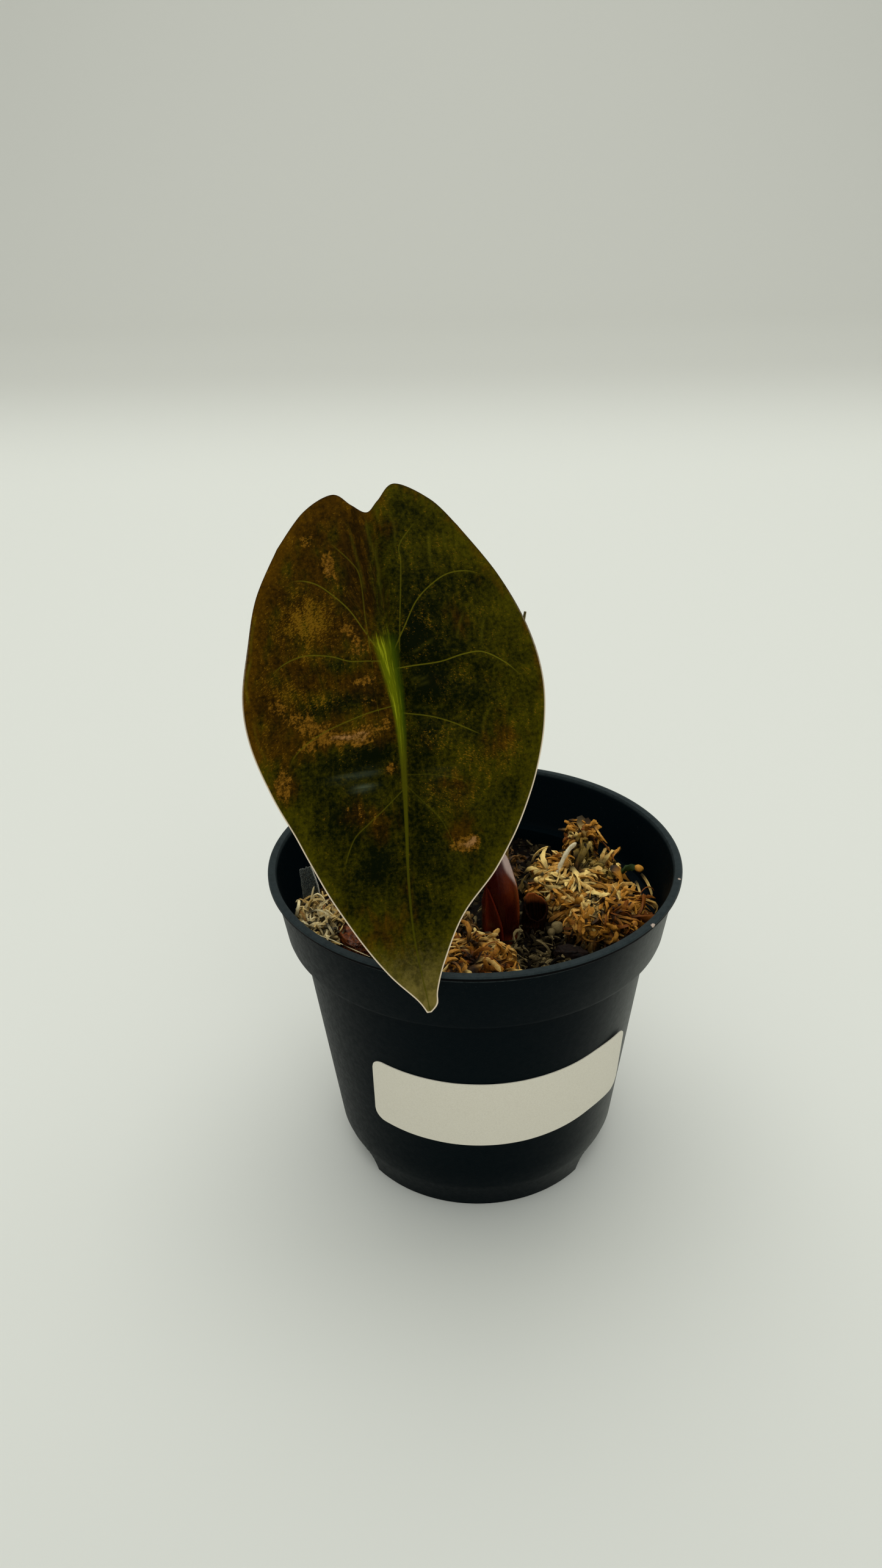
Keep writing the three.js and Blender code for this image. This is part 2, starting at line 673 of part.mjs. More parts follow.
/** A rough chip of bark: a block with its corners pulled about. */
function barkSolid({ spot, size, turn, seed }, grow = 0) {
  const random = seeded(seed);
  const chip = welded(new THREE.SphereGeometry(1, 9, 6));
  reshaped(chip, (p) => {
    const square = Math.max(Math.abs(p.x), Math.abs(p.y), Math.abs(p.z)) ** 0.55;
    const rough = (0.82 + 0.3 * random()) / square;
    p.set(p.x * rough * size[0] / 2, p.y * rough * size[1] / 2, p.z * rough * size[2] / 2);
    p.addScaledVector(p.clone().normalize(), grow);
  });
  return toSolid(placed(chip, turn, spot));
}

/** A papery strip of old sheath that stands against the wall. */
function dryStripSolid(grow = 0) {
  const { height, width, thickness, bow, curl } = DRY_STRIP;
  const strip = sheet(5, 8, (s, t) => {
    const up = (1 - t) * (height + grow);
    const taper = 0.45 + 0.55 * Math.sin(Math.PI * (0.12 + 0.7 * t));
    const across = (s - 0.5) * (width * taper + 2 * grow);
    const depth = bow * Math.sin(Math.PI * (1 - t)) + curl * across * across + grow;
    return new THREE.Vector3(across, -depth, up);
  }, thickness + 2 * grow);
  return toSolid(placed(strip, DRY_STRIP.turn, DRY_STRIP.foot));
}

const rootBitSolid = (grow = 0) => toSolid(tube(ROOT_BIT.path, () => ROOT_BIT.radius + grow, 7, 4));

// Assembly: what lies on the mix is cut back from what was placed before it

const FINISH = {
  pot: [0x10191b, 0.42],
  label: [0xe4e1d6, 0.6],
  mix: [0x1c1510, 0.95],
  blade: [0x3a3a10, 0.35],
  stalk: [0x4a0d0a, 0.3],
  spear: [0x5a3a26, 0.4],
  scale: [0x6a1a0e, 0.35],
  oldBase: [0x8a4a1e, 0.6],
  corm: [0x8c7a5a, 0.8],
  rootBit: [0xd8c8b4, 0.5],
  strip: [0xb8c0b4, 0.35],
};

const group = new THREE.Group();

function addPiece(name, geometry, [colour, roughness]) {
  const look = { color: colour, roughness, metalness: 0, flatShading: true };
  const material = new THREE.MeshStandardMaterial(look);
  const mesh = new THREE.Mesh(geometry, material);
  mesh.name = name;
  group.add(mesh);
}

addPiece('nursery_pot', potGeometry(), FINISH.pot);
addPiece('blank_label', labelGeometry(), FINISH.label);
addPiece('potting_mix', mixGeometry(), FINISH.mix);
addPiece('corm_with_roots', toGeometry(cormSolid().subtract(joined(shootSolids(CLEARANCE)))), FINISH.corm);
addPiece('leaf_stalk', toGeometry(stalkSolid().subtract(spearSolid(CLEARANCE))), FINISH.stalk);
addPiece('leaf_blade', bladeGeometry(), FINISH.blade);
addPiece('new_leaf', toGeometry(spearSolid()), FINISH.spear);
addPiece('scale_leaf', toGeometry(scaleLeafSolid()), FINISH.scale);
addPiece('old_leaf_base', toGeometry(oldBaseSolid().subtract(joined([
  stalkSolid(CLEARANCE), scaleLeafSolid(CLEARANCE),
]))), FINISH.oldBase);

const room = insideWall().subtract(mixBody(CLEARANCE));
const standing = shootSolids(CLEARANCE);

/** Keeps a piece inside the pot, above the mix and clear of everything that stands there already. */
function settle(name, solid, grown, finish) {
  const settled = solid.intersect(room).subtract(joined(standing));
  standing.push(grown);
  addPiece(name, toGeometry(settled), finish);
}

settle('dry_strip', dryStripSolid(), dryStripSolid(CLEARANCE), FINISH.strip);
settle('root_bit', rootBitSolid(), rootBitSolid(CLEARANCE), FINISH.rootBit);
for (const chip of BARK) {
  settle(chip.name, barkSolid(chip), barkSolid(chip, CLEARANCE), [chip.colour, 0.8]);
}
for (const clump of CLUMPS) {
  settle(clump.name, clumpSolid(clump), clumpSolid(clump, CLEARANCE), [clump.colour, 0.95]);
}

export default group;
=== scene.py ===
"""Looks of a potted aroid: pot, label, mix, moss, shoot and one large leaf, with a plain studio.

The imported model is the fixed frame. Every class works in its millimetres, and publish() turns a
finished piece into metres.
"""

import logging
import math
import random
from collections.abc import Callable, Iterator, Sequence
from dataclasses import dataclass
from enum import Enum
from functools import partial

import bmesh
import bpy
import numpy as np
from mathutils import Matrix, Vector, noise


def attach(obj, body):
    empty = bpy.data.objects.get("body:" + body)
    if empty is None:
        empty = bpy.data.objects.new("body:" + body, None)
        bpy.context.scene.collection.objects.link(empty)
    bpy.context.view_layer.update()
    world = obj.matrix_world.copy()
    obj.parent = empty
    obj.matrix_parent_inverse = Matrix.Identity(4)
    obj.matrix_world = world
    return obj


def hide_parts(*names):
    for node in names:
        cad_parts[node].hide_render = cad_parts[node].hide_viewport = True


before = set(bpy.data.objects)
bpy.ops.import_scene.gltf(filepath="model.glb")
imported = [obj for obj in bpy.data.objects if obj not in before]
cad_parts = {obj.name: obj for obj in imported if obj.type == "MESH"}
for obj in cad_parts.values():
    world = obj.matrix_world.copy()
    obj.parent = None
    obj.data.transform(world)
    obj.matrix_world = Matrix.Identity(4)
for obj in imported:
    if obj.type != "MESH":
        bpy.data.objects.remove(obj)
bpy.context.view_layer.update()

MM = 0.001
# The blade's UV maps keep millimetres as shares of this.
UV_SPAN = 100.0
# How near to the side of a unit grid a point counts as lying on it.
SEAM = 1e-5
# Edges that turn by more degrees than this stay sharp on most pieces.
CREASE = 50.0
# Blender's vector noise is drawn anew on each start unless it gets a seed.
NOISE_SEED = 5
LOG = logging.getLogger("potted_aroid")

Point = tuple[float, float, float]
Pair = tuple[float, float]
Rgb = tuple[float, float, float]
Socket = bpy.types.NodeSocket
Material = bpy.types.Material
Thing = bpy.types.Object
Body = bmesh.types.BMesh
Placer = Callable[[float, float], Vector]
Keeper = Callable[[np.ndarray], np.ndarray]
Rows = Sequence[tuple[float, ...]]
Number = float | Socket
Colour = Rgb | Socket


# Numbers


def smooth(x: float) -> float:
    """Eases from 0 to 1 as x does."""
    t = min(max(x, 0.0), 1.0)
    return t * t * (3.0 - 2.0 * t)


def mix(a: float, b: float, share: float) -> float:
    """The number at a share of the way from a to b."""
    return a + (b - a) * share


def along(values: Sequence[float], share: float) -> float:
    """Reads a value from evenly spaced entries.

    Args:
        values: The entries, at least two.
        share: The place among them, from 0 to 1.

    Returns:
        The eased value there.
    """
    place = min(max(share, 0.0), 1.0) * (len(values) - 1)
    index = min(int(place), len(values) - 2)
    return mix(values[index], values[index + 1], smooth(place - index))


def rgb(red: float, green: float, blue: float) -> Rgb:
    """A colour as it looks on a screen, from 0 to 255, in linear light."""
    return tuple(
        (c / 255 / 12.92) if c <= 10.3 else ((c / 255 + 0.055) / 1.055) ** 2.4 for c in (red, green, blue)
    )


class Draws:
    """The repeatable random numbers that the solids were made with."""

    def __init__(self, seed: int) -> None:
        """Starts the row of numbers of a seed."""
        self.state = seed * 2654435761 % 4294967296

    def next(self) -> float:
        """The next number, from 0 to 1."""
        self.state = (self.state * 1664525 + 1013904223) % 4294967296
        return self.state / 4294967296


class Knots(Enum):
    """How a curve is timed between its points."""

    EVEN = "even"
    CENTRIPETAL = "centripetal"


class Spline:
    """A smooth curve through points, read by its share of length."""

    def __init__(self, points: Sequence[Sequence[float]], knots: Knots = Knots.CENTRIPETAL) -> None:
        """Samples the curve finely.

        Args:
            points: The points that it passes, with two or three coordinates.
            knots: How it is timed between them.
        """
        through = [np.array([*p, 0.0][:3], float) for p in points]
        if knots is Knots.EVEN:
            padded = [through[0], *through, through[-1]]
        else:
            padded = [2 * through[0] - through[1], *through, 2 * through[-1] - through[-2]]
        rows = []
        for before, start, end, after in zip(padded, padded[1:], padded[2:], padded[3:]):
            out, into = self._tangents(before, start, end, after, knots)
            for t in np.linspace(0, 1, 40, endpoint=False):
                bend = (-3 * start + 3 * end - 2 * out - into) * t**2
                rows.append(start + out * t + bend + (2 * start - 2 * end + out + into) * t**3)
        rows.append(through[-1])
        self.table = np.array(rows)
        lengths = np.linalg.norm(np.diff(self.table, axis=0), axis=1)
        self.shares = np.concatenate([[0.0], np.cumsum(lengths)]) / float(lengths.sum())

    @staticmethod
    def _tangents(
        before: np.ndarray, start: np.ndarray, end: np.ndarray, after: np.ndarray, knots: Knots
    ) -> tuple[np.ndarray, np.ndarray]:
        """The curve's directions at both ends of a span.

        Args:
            before: The point before the span.
            start: The span's first point.
            end: The span's last point.
            after: The point after the span.
            knots: How the curve is timed.

        Returns:
            The direction out of the first point and the direction into the last.
        """
        if knots is Knots.EVEN:
            return (end - before) / 2, (after - start) / 2
        spans = ((before, start), (start, end), (end, after))
        a, b, c = (max(np.linalg.norm(q - p), 1e-6) ** 0.5 for p, q in spans)
        out = ((start - before) / a - (end - before) / (a + b) + (end - start) / b) * b
        into = ((end - start) / b - (after - start) / (b + c) + (after - end) / c) * b
        return out, into

    def at_many(self, shares: np.ndarray) -> np.ndarray:
        """The points at many shares of the length, one row each."""
        return np.stack([np.interp(shares, self.shares, self.table[:, k]) for k in range(3)], axis=-1)

    def at(self, share: float) -> Vector:
        """The point at a share of the length."""
        return Vector(self.at_many(np.array([share]))[0])

    def heading(self, share: float) -> Vector:
        """The direction of travel at a share of the length."""
        step = 0.004
        ends = self.at_many(np.array([max(share - step, 0.0), min(share + step, 1.0)]))
        return Vector(ends[1] - ends[0]).normalized()

    def frames(self, rows: int) -> list[tuple[Vector, Vector, Vector]]:
        """Sections along the curve that turn as little as possible.

        Args:
            rows: The number of steps.

        Returns:
            The centre, the side direction and the upward direction of each section.
        """
        made = []
        side = Vector((1.0, 0.0, 0.0))
        if abs(self.heading(0.0).x) > 0.9:
            side = Vector((0.0, 1.0, 0.0))
        for row in range(rows + 1):
            ahead = self.heading(row / rows)
            side = (side - ahead * side.dot(ahead)).normalized()
            made.append((self.at(row / rows), side, ahead.cross(side)))
        return made


# Meshes


def unit_grid(columns: int, rows: int) -> Body:
    """A flat grid over the unit square, with its coordinates kept as UVs."""
    bm = bmesh.new()
    layer = bm.loops.layers.uv.new("surface")
    bmesh.ops.create_grid(bm, x_segments=columns, y_segments=rows, size=0.5)
    bmesh.ops.translate(bm, vec=Vector((0.5, 0.5, 0.0)), verts=bm.verts)
    for face in bm.faces:
        for loop in face.loops:
            loop[layer].uv = loop.vert.co.xy
    return bm


def sheet(columns: int, rows: int, place: Placer) -> Body:
    """A grid bent into an open sheet.

    Args:
        columns: Faces across.
        rows: Faces down.
        place: Gives a point's place from its unit coordinates.

    Returns:
        The sheet.
    """
    bm = unit_grid(columns, rows)
    for vert in bm.verts:
        vert.co = place(vert.co.x, vert.co.y)
    return bm


def rolled(columns: int, rows: int, place: Placer) -> Body:
    """A grid rolled into an open tube, whose sides are joined.

    Args:
        columns: Faces around.
        rows: Faces along.
        place: Gives a point's place from its unit coordinates, alike at 0 and 1 around.

    Returns:
        The tube.
    """
    bm = unit_grid(columns, rows)
    seam = [vert for vert in bm.verts if not SEAM < vert.co.x < 1 - SEAM]
    for vert in bm.verts:
        vert.co = place(vert.co.x, vert.co.y)
    bmesh.ops.remove_doubles(bm, verts=seam, dist=SEAM)
    return bm


def closed(bm: Body) -> Body:
    """Fills a mesh's open ends, turns its faces outward and gives it back."""
    bmesh.ops.holes_fill(bm, edges=[edge for edge in bm.edges if edge.is_boundary], sides=0)
    bmesh.ops.recalc_face_normals(bm, faces=bm.faces)
    return bm


def thickened(bm: Body, thickness: float) -> Body:
    """Gives a sheet a thickness behind its faces and gives it back."""
    bm.normal_update()
    bmesh.ops.solidify(bm, geom=bm.faces[:], thickness=thickness)
    return bm


def turned(angles: Point) -> Matrix:
    """The turn by a tilt, a roll and a yaw in degrees: about Y first, then X, then Z."""
    tilt, roll, yaw = (math.radians(angle) for angle in angles)
    return Matrix.Rotation(yaw, 3, "Z") @ Matrix.Rotation(tilt, 3, "X") @ Matrix.Rotation(roll, 3, "Y")


def scatter(draws: random.Random, spread: float) -> Vector:
    """A drawn vector, each of whose parts has a given spread."""
    return Vector([draws.gauss(0.0, spread) for _ in range(3)])


def swept(
    path: Spline, columns: int, rows: int, reach: Callable[[float, float], float]
) -> Body:
    """A closed body along a curve.

    Args:
        path: Its centre line.
        columns: Faces around.
        rows: Faces along.
        reach: Gives the section's radius from the turn in radians and the share of the length.

    Returns:
        The body.
    """
    frames = path.frames(rows)

    def place(around: float, share: float) -> Vector:
        """The surface point at unit coordinates."""
        centre, side, up = frames[round(share * rows)]
        turn = around * math.tau
        return centre + (side * math.cos(turn) + up * math.sin(turn)) * reach(turn, share)

    return closed(rolled(columns, rows, place))


def number_layer(bm: Body, name: str) -> bmesh.types.BMLayerItem:
    """The named number that each vertex keeps, made if it isn't there."""
    layers = bm.verts.layers.float
    return layers.get(name) or layers.new(name)


def packed(bm: Body, name: str) -> bpy.types.Mesh:
    """Keeps a mesh under a name and frees what it was made in."""
    mesh = bpy.data.meshes.new(name)
    bm.to_mesh(mesh)
    bm.free()
    return mesh


def linked(name: str, data: bpy.types.ID) -> Thing:
    """Puts an object with some data in the scene."""
    thing = bpy.data.objects.new(name, data)
    bpy.context.scene.collection.objects.link(thing)
    return thing


def poured(target: Body, source: Body) -> None:
    """Adds one mesh to another and frees it.

    Args:
        target: The mesh that grows.
        source: The mesh that is used up.
    """
    carrier = packed(source, "carrier")
    target.from_mesh(carrier)
    bpy.data.meshes.remove(carrier)


def publish(
    bm: Body,
    name: str,
    slot: str,
    materials: Sequence[Material],
    nodes: Sequence[str],
    crease: float,
) -> Thing:
    """Makes a finished mesh a piece of the object.

    Args:
        bm: The mesh, in millimetres. It is used up.
        name: The piece's name.
        slot: The material slot's name, which is not used.
        materials: The piece's materials.
        nodes: The CAD nodes that it stands for.
        crease: Edges that turn more than this many degrees stay sharp.

    Returns:
        The piece.
    """
    bmesh.ops.scale(bm, vec=Vector((MM, MM, MM)), verts=bm.verts)
    limit = math.radians(crease)
    for edge in bm.edges:
        edge.smooth = len(edge.link_faces) == 2 and edge.calc_face_angle(0.0) < limit
    for face in bm.faces:
        face.smooth = True
    mesh = packed(bm, name)
    for material in materials:
        mesh.materials.append(material)
    piece = linked(name, mesh)
    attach(piece, "root")
    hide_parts(*nodes)
    LOG.info("%s: %d faces", name, len(mesh.polygons))
    return piece


# Materials


class Graph:
    """Adds nodes to a node tree and joins them."""

    def __init__(self, tree: bpy.types.NodeTree) -> None:
        """Keeps the tree that grows."""
        self.tree = tree

    def feed(self, socket: Socket, value: Number | Colour | Sequence[float]) -> None:
        """Sets an input, or joins it to another node's output."""
        if isinstance(value, Socket):
            self.tree.links.new(value, socket)
        elif socket.type == "RGBA" and len(value) == 3:
            socket.default_value = (*value, 1.0)
        else:
            socket.default_value = value

    def node(self, kind: str, inputs: dict | None = None, **settings: object) -> bpy.types.Node:
        """Adds a node.

        Args:
            kind: Blender's name for it.
            inputs: Values or outputs for its inputs, by name or number.
            settings: The node's own settings.

        Returns:
            The node.
        """
        made = self.tree.nodes.new(kind)
        for name, value in settings.items():
            setattr(made, name, value)
        for key, value in (inputs or {}).items():
            self.feed(made.inputs[key], value)
        return made

    def math(self, operation: str, a: Number, b: Number = 0.0, clamp: bool = False) -> Socket:
        """The result of a sum on one or two numbers."""
        return self.node("ShaderNodeMath", {0: a, 1: b}, operation=operation, use_clamp=clamp).outputs[0]

    def times(self, start: Number, *factors: Number) -> Socket:
        """The product of two or more numbers."""
        for factor in factors:
            start = self.math("MULTIPLY", start, factor)
        return start

    def blend(self, share: Number, a: Colour, b: Colour) -> Socket:
        """A colour between two."""
        return self.node("ShaderNodeMix", {0: share, 6: a, 7: b}, data_type="RGBA").outputs[2]

    def band(self, value: Number, low: float, high: float, start: float = 0.0, end: float = 1.0) -> Socket:
        """Eases from start to end as the value goes from low to high."""
        inputs = {0: value, 1: low, 2: high, 3: start, 4: end}
        return self.node("ShaderNodeMapRange", inputs, interpolation_type="SMOOTHSTEP").outputs[0]

    def scaled(self, vector: Socket, scale: Point, turn: Point = (0.0, 0.0, 0.0)) -> Socket:
        """A vector that is scaled and turned by degrees."""
        inputs = {0: vector, 2: tuple(map(math.radians, turn)), 3: scale}
        return self.node("ShaderNodeMapping", inputs).outputs[0]

    def noise(
        self, vector: Socket, scale: Number, detail: float = 3.0, rough: float = 0.55, warp: float = 0.0
    ) -> Socket:
        """Cloudy noise from 0 to 1."""
        inputs = {"Vector": vector, "Scale": scale, "Detail": detail, "Roughness": rough, "Distortion": warp}
        return self.node("ShaderNodeTexNoise", inputs).outputs[0]

    def cells(self, vector: Socket, scale: Number, output: str = "Distance", **settings: object) -> Socket:
        """Scattered cells: the distance to each one's point, or its own colour."""
        inputs = {"Vector": vector, "Scale": scale}
        return self.node("ShaderNodeTexVoronoi", inputs, **settings).outputs[output]

    def total(self, start: Number, *parts: tuple[Number, float]) -> Socket:
        """Adds signed noises, each less its middle and times its weight, to a number."""
        for noise_value, weight in parts:
            start = self.node(
                "ShaderNodeMath", {0: noise_value, 1: weight, 2: self.math("SUBTRACT", start, 0.5 * weight)},
                operation="MULTIPLY_ADD",
            ).outputs[0]
        return start

    def attribute(self, name: str) -> Socket:
        """A number kept on the mesh."""
        return self.node("ShaderNodeAttribute", attribute_name=name).outputs["Fac"]

    def uv(self, name: str) -> Socket:
        """A UV map that was kept in shares of UV_SPAN, in millimetres."""
        return self.scaled(self.node("ShaderNodeUVMap", uv_map=name).outputs[0], (UV_SPAN, UV_SPAN, UV_SPAN))

    def place(self) -> Socket:
        """The place on the object, in millimetres."""
        where = self.node("ShaderNodeTexCoord").outputs["Object"]
        return self.scaled(where, (1 / MM, 1 / MM, 1 / MM))

    def part(self, vector: Socket, axis: int) -> Socket:
        """One coordinate of a vector: 0, 1 or 2 for X, Y or Z."""
        return self.node("ShaderNodeSeparateXYZ", {0: vector}).outputs[axis]

    def height(self, place: Socket) -> Socket:
        """How high a place is, in millimetres."""
        return self.part(place, 2)

    def vector(self, operation: str, a: Socket, b: Socket | Point = (0.0, 0.0, 0.0)) -> bpy.types.Node:
        """A sum on one or two vectors."""
        return self.node("ShaderNodeVectorMath", {0: a, 1: b}, operation=operation)

    def facing_out(self, place: Socket) -> Socket:
        """How far a surface faces away from the object's upright axis: 1 outwards, -1 inwards."""
        level = self.vector("NORMALIZE", self.scaled(place, (1.0, 1.0, 0.0))).outputs[0]
        normal = self.node("ShaderNodeNewGeometry").outputs["Normal"]
        return self.vector("DOT_PRODUCT", level, normal).outputs["Value"]

    def near(self, place: Socket, spot: Point, reach: Point, ragged: Socket) -> Socket:
        """1 near a spot and 0 beyond its reach, with a ragged edge."""
        off = self.vector("SUBTRACT", place, spot).outputs[0]
        away = self.vector("LENGTH", self.vector("DIVIDE", off, reach).outputs[0]).outputs["Value"]
        return self.band(self.total(away, (ragged, 0.8)), 0.75, 1.0, 0.9, 0.0)

    def bump(self, height: Socket, depth: float) -> Socket:
        """A normal from a height that is given in shares of a depth in millimetres."""
        inputs = {"Height": height, "Distance": depth * MM, "Strength": 1.0}
        return self.node("ShaderNodeBump", inputs).outputs[0]

    def effect(self, group: bpy.types.NodeTree, **inputs: Number | Colour) -> Socket:
        """Places a shared effect and returns its first output."""
        made = self.node("ShaderNodeGroup", node_tree=group)
        for name, value in inputs.items():
            self.feed(made.inputs[name], value)
        return made.outputs[0]


class Surface(Graph):
    """A material's graph, which ends in one shader."""

    def __init__(self, name: str) -> None:
        """Starts an empty material."""
        self.material = bpy.data.materials.new(name)
        self.material.use_nodes = True
        super().__init__(self.material.node_tree)
        self.tree.nodes.clear()

    def close(
        self, colour: Colour, rough: Number, normal: Socket | None = None, **constants: object
    ) -> Material:
        """Ends the graph in a shader.

        Args:
            colour: The base colour.
            rough: The roughness.
            normal: The bumped normal, if any.
            constants: Other inputs of the shader, with _ for a space.

        Returns:
            The material.
        """
        inputs = {"Base Color": colour, "Roughness": rough}
        inputs.update({name.replace("_", " "): value for name, value in constants.items()})
        shader = self.node("ShaderNodeBsdfPrincipled", inputs)
        if normal is not None:
            self.feed(shader.inputs["Normal"], normal)
        out = self.node("ShaderNodeOutputMaterial")
        self.feed(out.inputs["Surface"], shader.outputs[0])
        return self.material


class Effects:
    """Effects that several materials use, each built once."""

    def __init__(self) -> None:
        """Builds the groups."""
        self.grain = self._group("fine_grain", {"Scale": 3.0}, self._grain)
        self.speckle = self._group("speckle", {"Scale": 1.0, "Share": 0.2, "Size": 0.3}, self._speckle)
        self.streaks = self._group("streaks", {"Scale": 1.0, "Stretch": 0.2}, self._streaks)

    @staticmethod
    def _group(
        name: str, numbers: dict[str, float], build: Callable[[Graph, dict[str, Socket]], Socket]
    ) -> bpy.types.NodeTree:
        """Makes a node group with a place, some numbers and one value out.

        Args:
            name: The group's name.
            numbers: Its number inputs and their defaults.
            build: Makes the value from the group's inputs.

        Returns:
            The group.
        """
        tree = bpy.data.node_groups.new(name, "ShaderNodeTree")
        tree.interface.new_socket("Place", in_out="INPUT", socket_type="NodeSocketVector")
        for number, default in numbers.items():
            made = tree.interface.new_socket(number, in_out="INPUT", socket_type="NodeSocketFloat")
            made.default_value = default
        tree.interface.new_socket("Value", in_out="OUTPUT", socket_type="NodeSocketFloat")
        graph = Graph(tree)
        inside = graph.node("NodeGroupInput")
        outside = graph.node("NodeGroupOutput")
        given = {socket.name: socket for socket in inside.outputs if socket.name}
        graph.feed(outside.inputs[0], build(graph, given))
        return tree

    @staticmethod
    def _grain(graph: Graph, given: dict[str, Socket]) -> Socket:
        """Fine even unevenness in two sizes."""
        coarse = graph.noise(given["Place"], given["Scale"], 4.0, 0.6)
        fine = graph.noise(given["Place"], graph.times(given["Scale"], 5.3), 2.0)
        return graph.math("ADD", graph.times(coarse, 0.65), graph.times(fine, 0.35))

    @staticmethod
    def _speckle(graph: Graph, given: dict[str, Socket]) -> Socket:
        """Scattered spots: a share of the cells has one, with a soft ragged edge."""
        wobble = graph.noise(given["Place"], graph.times(given["Scale"], 3.0), 2.0)
        distance = graph.cells(given["Place"], given["Scale"])
        own = graph.node("ShaderNodeSeparateColor", {0: graph.cells(given["Place"], given["Scale"], "Color")})
        chosen = graph.math("LESS_THAN", own.outputs[0], given["Share"])
        reach = graph.times(given["Size"], graph.math("ADD", 0.55, wobble))
        inside = graph.math("SUBTRACT", reach, distance)
        soft = graph.math("DIVIDE", inside, graph.times(given["Size"], 0.35), clamp=True)
        return graph.times(chosen, soft)

    @staticmethod
    def _streaks(graph: Graph, given: dict[str, Socket]) -> Socket:
        """Long streaks along the second coordinate, which is slowed by Stretch."""
        slowed = graph.node("ShaderNodeCombineXYZ", {0: 1.0, 1: given["Stretch"], 2: 1.0}).outputs[0]
        drawn = graph.vector("MULTIPLY", given["Place"], slowed).outputs[0]
        return graph.noise(drawn, given["Scale"], 4.0, 0.6, 0.4)


# Finishes


@dataclass(frozen=True)
class PotPlastic:
    """Thin black moulded plastic: scuffed with a painted sheen on its right, worn grey at the lip, with a
    painted highlight line and a painted shade line at the collar's top, and a few pale flakes.
    """

    name: str = "pot_plastic"
    body: Rgb = rgb(0, 8, 12)
    # Grey of the scuffing and of the painted sheen on the pot's right side.
    haze_and_sheen: Rgb = rgb(150, 152, 146)
    # Worn grey of the lip, also the colour of the painted highlight along the collar's top edge.
    worn_grey_and_highlight: Rgb = rgb(62, 71, 72)
    # Near-black of the painted shade just under the lip.
    groove: Rgb = rgb(0, 1, 2)
    dust: Rgb = rgb(196, 190, 172)
    flake: Rgb = rgb(196, 176, 160)
    lip_height: float = 60.2
    inner_flake: tuple[Point, Point] = ((11.9, 33.4, 50.5), (1.5, 1.2, 0.42))
    flakes: tuple[tuple[Point, Point], ...] = (
        ((30.2, -23.6, 61.9), (0.9, 0.6, 0.6)), ((36.4, -9.2, 62.0), (0.3, 0.3, 0.4)),
        ((34.4, -9.8, 62.0), (0.25, 0.3, 0.4)), ((-35.4, 4.6, 48.9), (0.5, 0.7, 0.9)),
    )

    def material(self, effects: Effects) -> Material:
        """The finish as a material."""
        s = Surface(self.name)
        place = s.place()
        grain = s.effect(effects.grain, Place=place, Scale=0.9)
        # Painted sheen: the outside's right side turns grey where it is seen slantwise, partly scuffing and
        # partly painted reflection.
        facing = s.node("ShaderNodeLayerWeight", {"Blend": 0.5}).outputs["Facing"]
        slant = s.band(facing, 0.3, 0.95)
        right = s.band(s.part(place, 0), 4.0, 30.0, 0.16, 1.0)
        haze_and_sheen_share = s.times(slant, slant, s.times(right, 0.4))
        outside = s.band(s.facing_out(place), 0.0, 0.3)
        ground = s.blend(s.times(haze_and_sheen_share, outside), self.body, self.haze_and_sheen)
        drawn = s.scaled(place, (3.0, 1.0, 1.0), (20.0, 65.0, 40.0))
        hairlines = s.effect(effects.streaks, Place=drawn, Scale=1.6, Stretch=0.05)
        near_lip = s.band(s.height(place), self.lip_height - 9.0, self.lip_height)
        scratched = s.times(s.band(hairlines, 0.66, 0.74), s.times(near_lip, 0.5))
        lip = s.band(s.height(place), self.lip_height + 0.9, self.lip_height + 1.5, 0.0, 0.5)
        worn = s.math("MAXIMUM", scratched, s.times(lip, s.band(grain, 0.3, 0.6, 0.6, 1.0)))
        flecks = s.effect(effects.speckle, Place=place, Scale=0.3, Share=0.05, Size=0.06)
        dusty = s.times(flecks, s.times(near_lip, 0.5))
        colour = s.blend(dusty, s.blend(worn, ground, self.worn_grey_and_highlight), self.dust)
        tall = s.height(place)
        # Painted shade: a near-black band on the outside just under the lip.
        under = s.times(s.band(tall, 60.85, 61.0), s.band(tall, 61.55, 61.7, 1.0, 0.0))
        colour = s.blend(s.times(under, outside), colour, self.groove)
        # Painted highlight: a thin grey line round the outside along the collar's top edge, just under the
        # lip.
        edge = s.times(s.band(tall, 60.1, 60.3), s.band(tall, 60.6, 60.8, 1.0, 0.0))
        edge = s.times(edge, outside, s.band(grain, 0.35, 0.6, 0.2, 0.6))
        colour = s.blend(edge, colour, self.worn_grey_and_highlight)
        inside = s.band(s.facing_out(place), 0.0, 0.3, 1.0, 0.0)
        lodged = s.times(s.near(place, *self.inner_flake, grain), inside)
        colour = s.blend(lodged, colour, self.flake)
        for spot, reach in self.flakes:
            colour = s.blend(s.near(place, spot, reach, grain), colour, self.flake)
        rough = s.band(grain, 0.3, 0.7, 0.4, 0.56)
        return s.close(colour, rough, s.bump(grain, 0.05), Specular_IOR_Level=0.035)


@dataclass(frozen=True)
class LabelPaper:
    """Coated white paper with a faint fibre."""

    name: str = "label_paper"
    face: Rgb = rgb(225, 219, 202)
    shade: Rgb = rgb(206, 198, 178)

    def material(self, effects: Effects) -> Material:
        """The finish as a material."""
        s = Surface(self.name)
        place = s.place()
        drawn = s.scaled(place, (2.0, 2.0, 2.0), (0.0, 30.0, 0.0))
        fibre = s.effect(effects.streaks, Place=drawn, Scale=2.2, Stretch=0.35)
        grain = s.effect(effects.grain, Place=place, Scale=2.5)
        colour = s.blend(s.band(fibre, 0.35, 0.75, 0.0, 0.5), self.face, self.shade)
        return s.close(
            colour, s.band(grain, 0.3, 0.7, 0.48, 0.62), s.bump(grain, 0.02), Specular_IOR_Level=0.35
        )


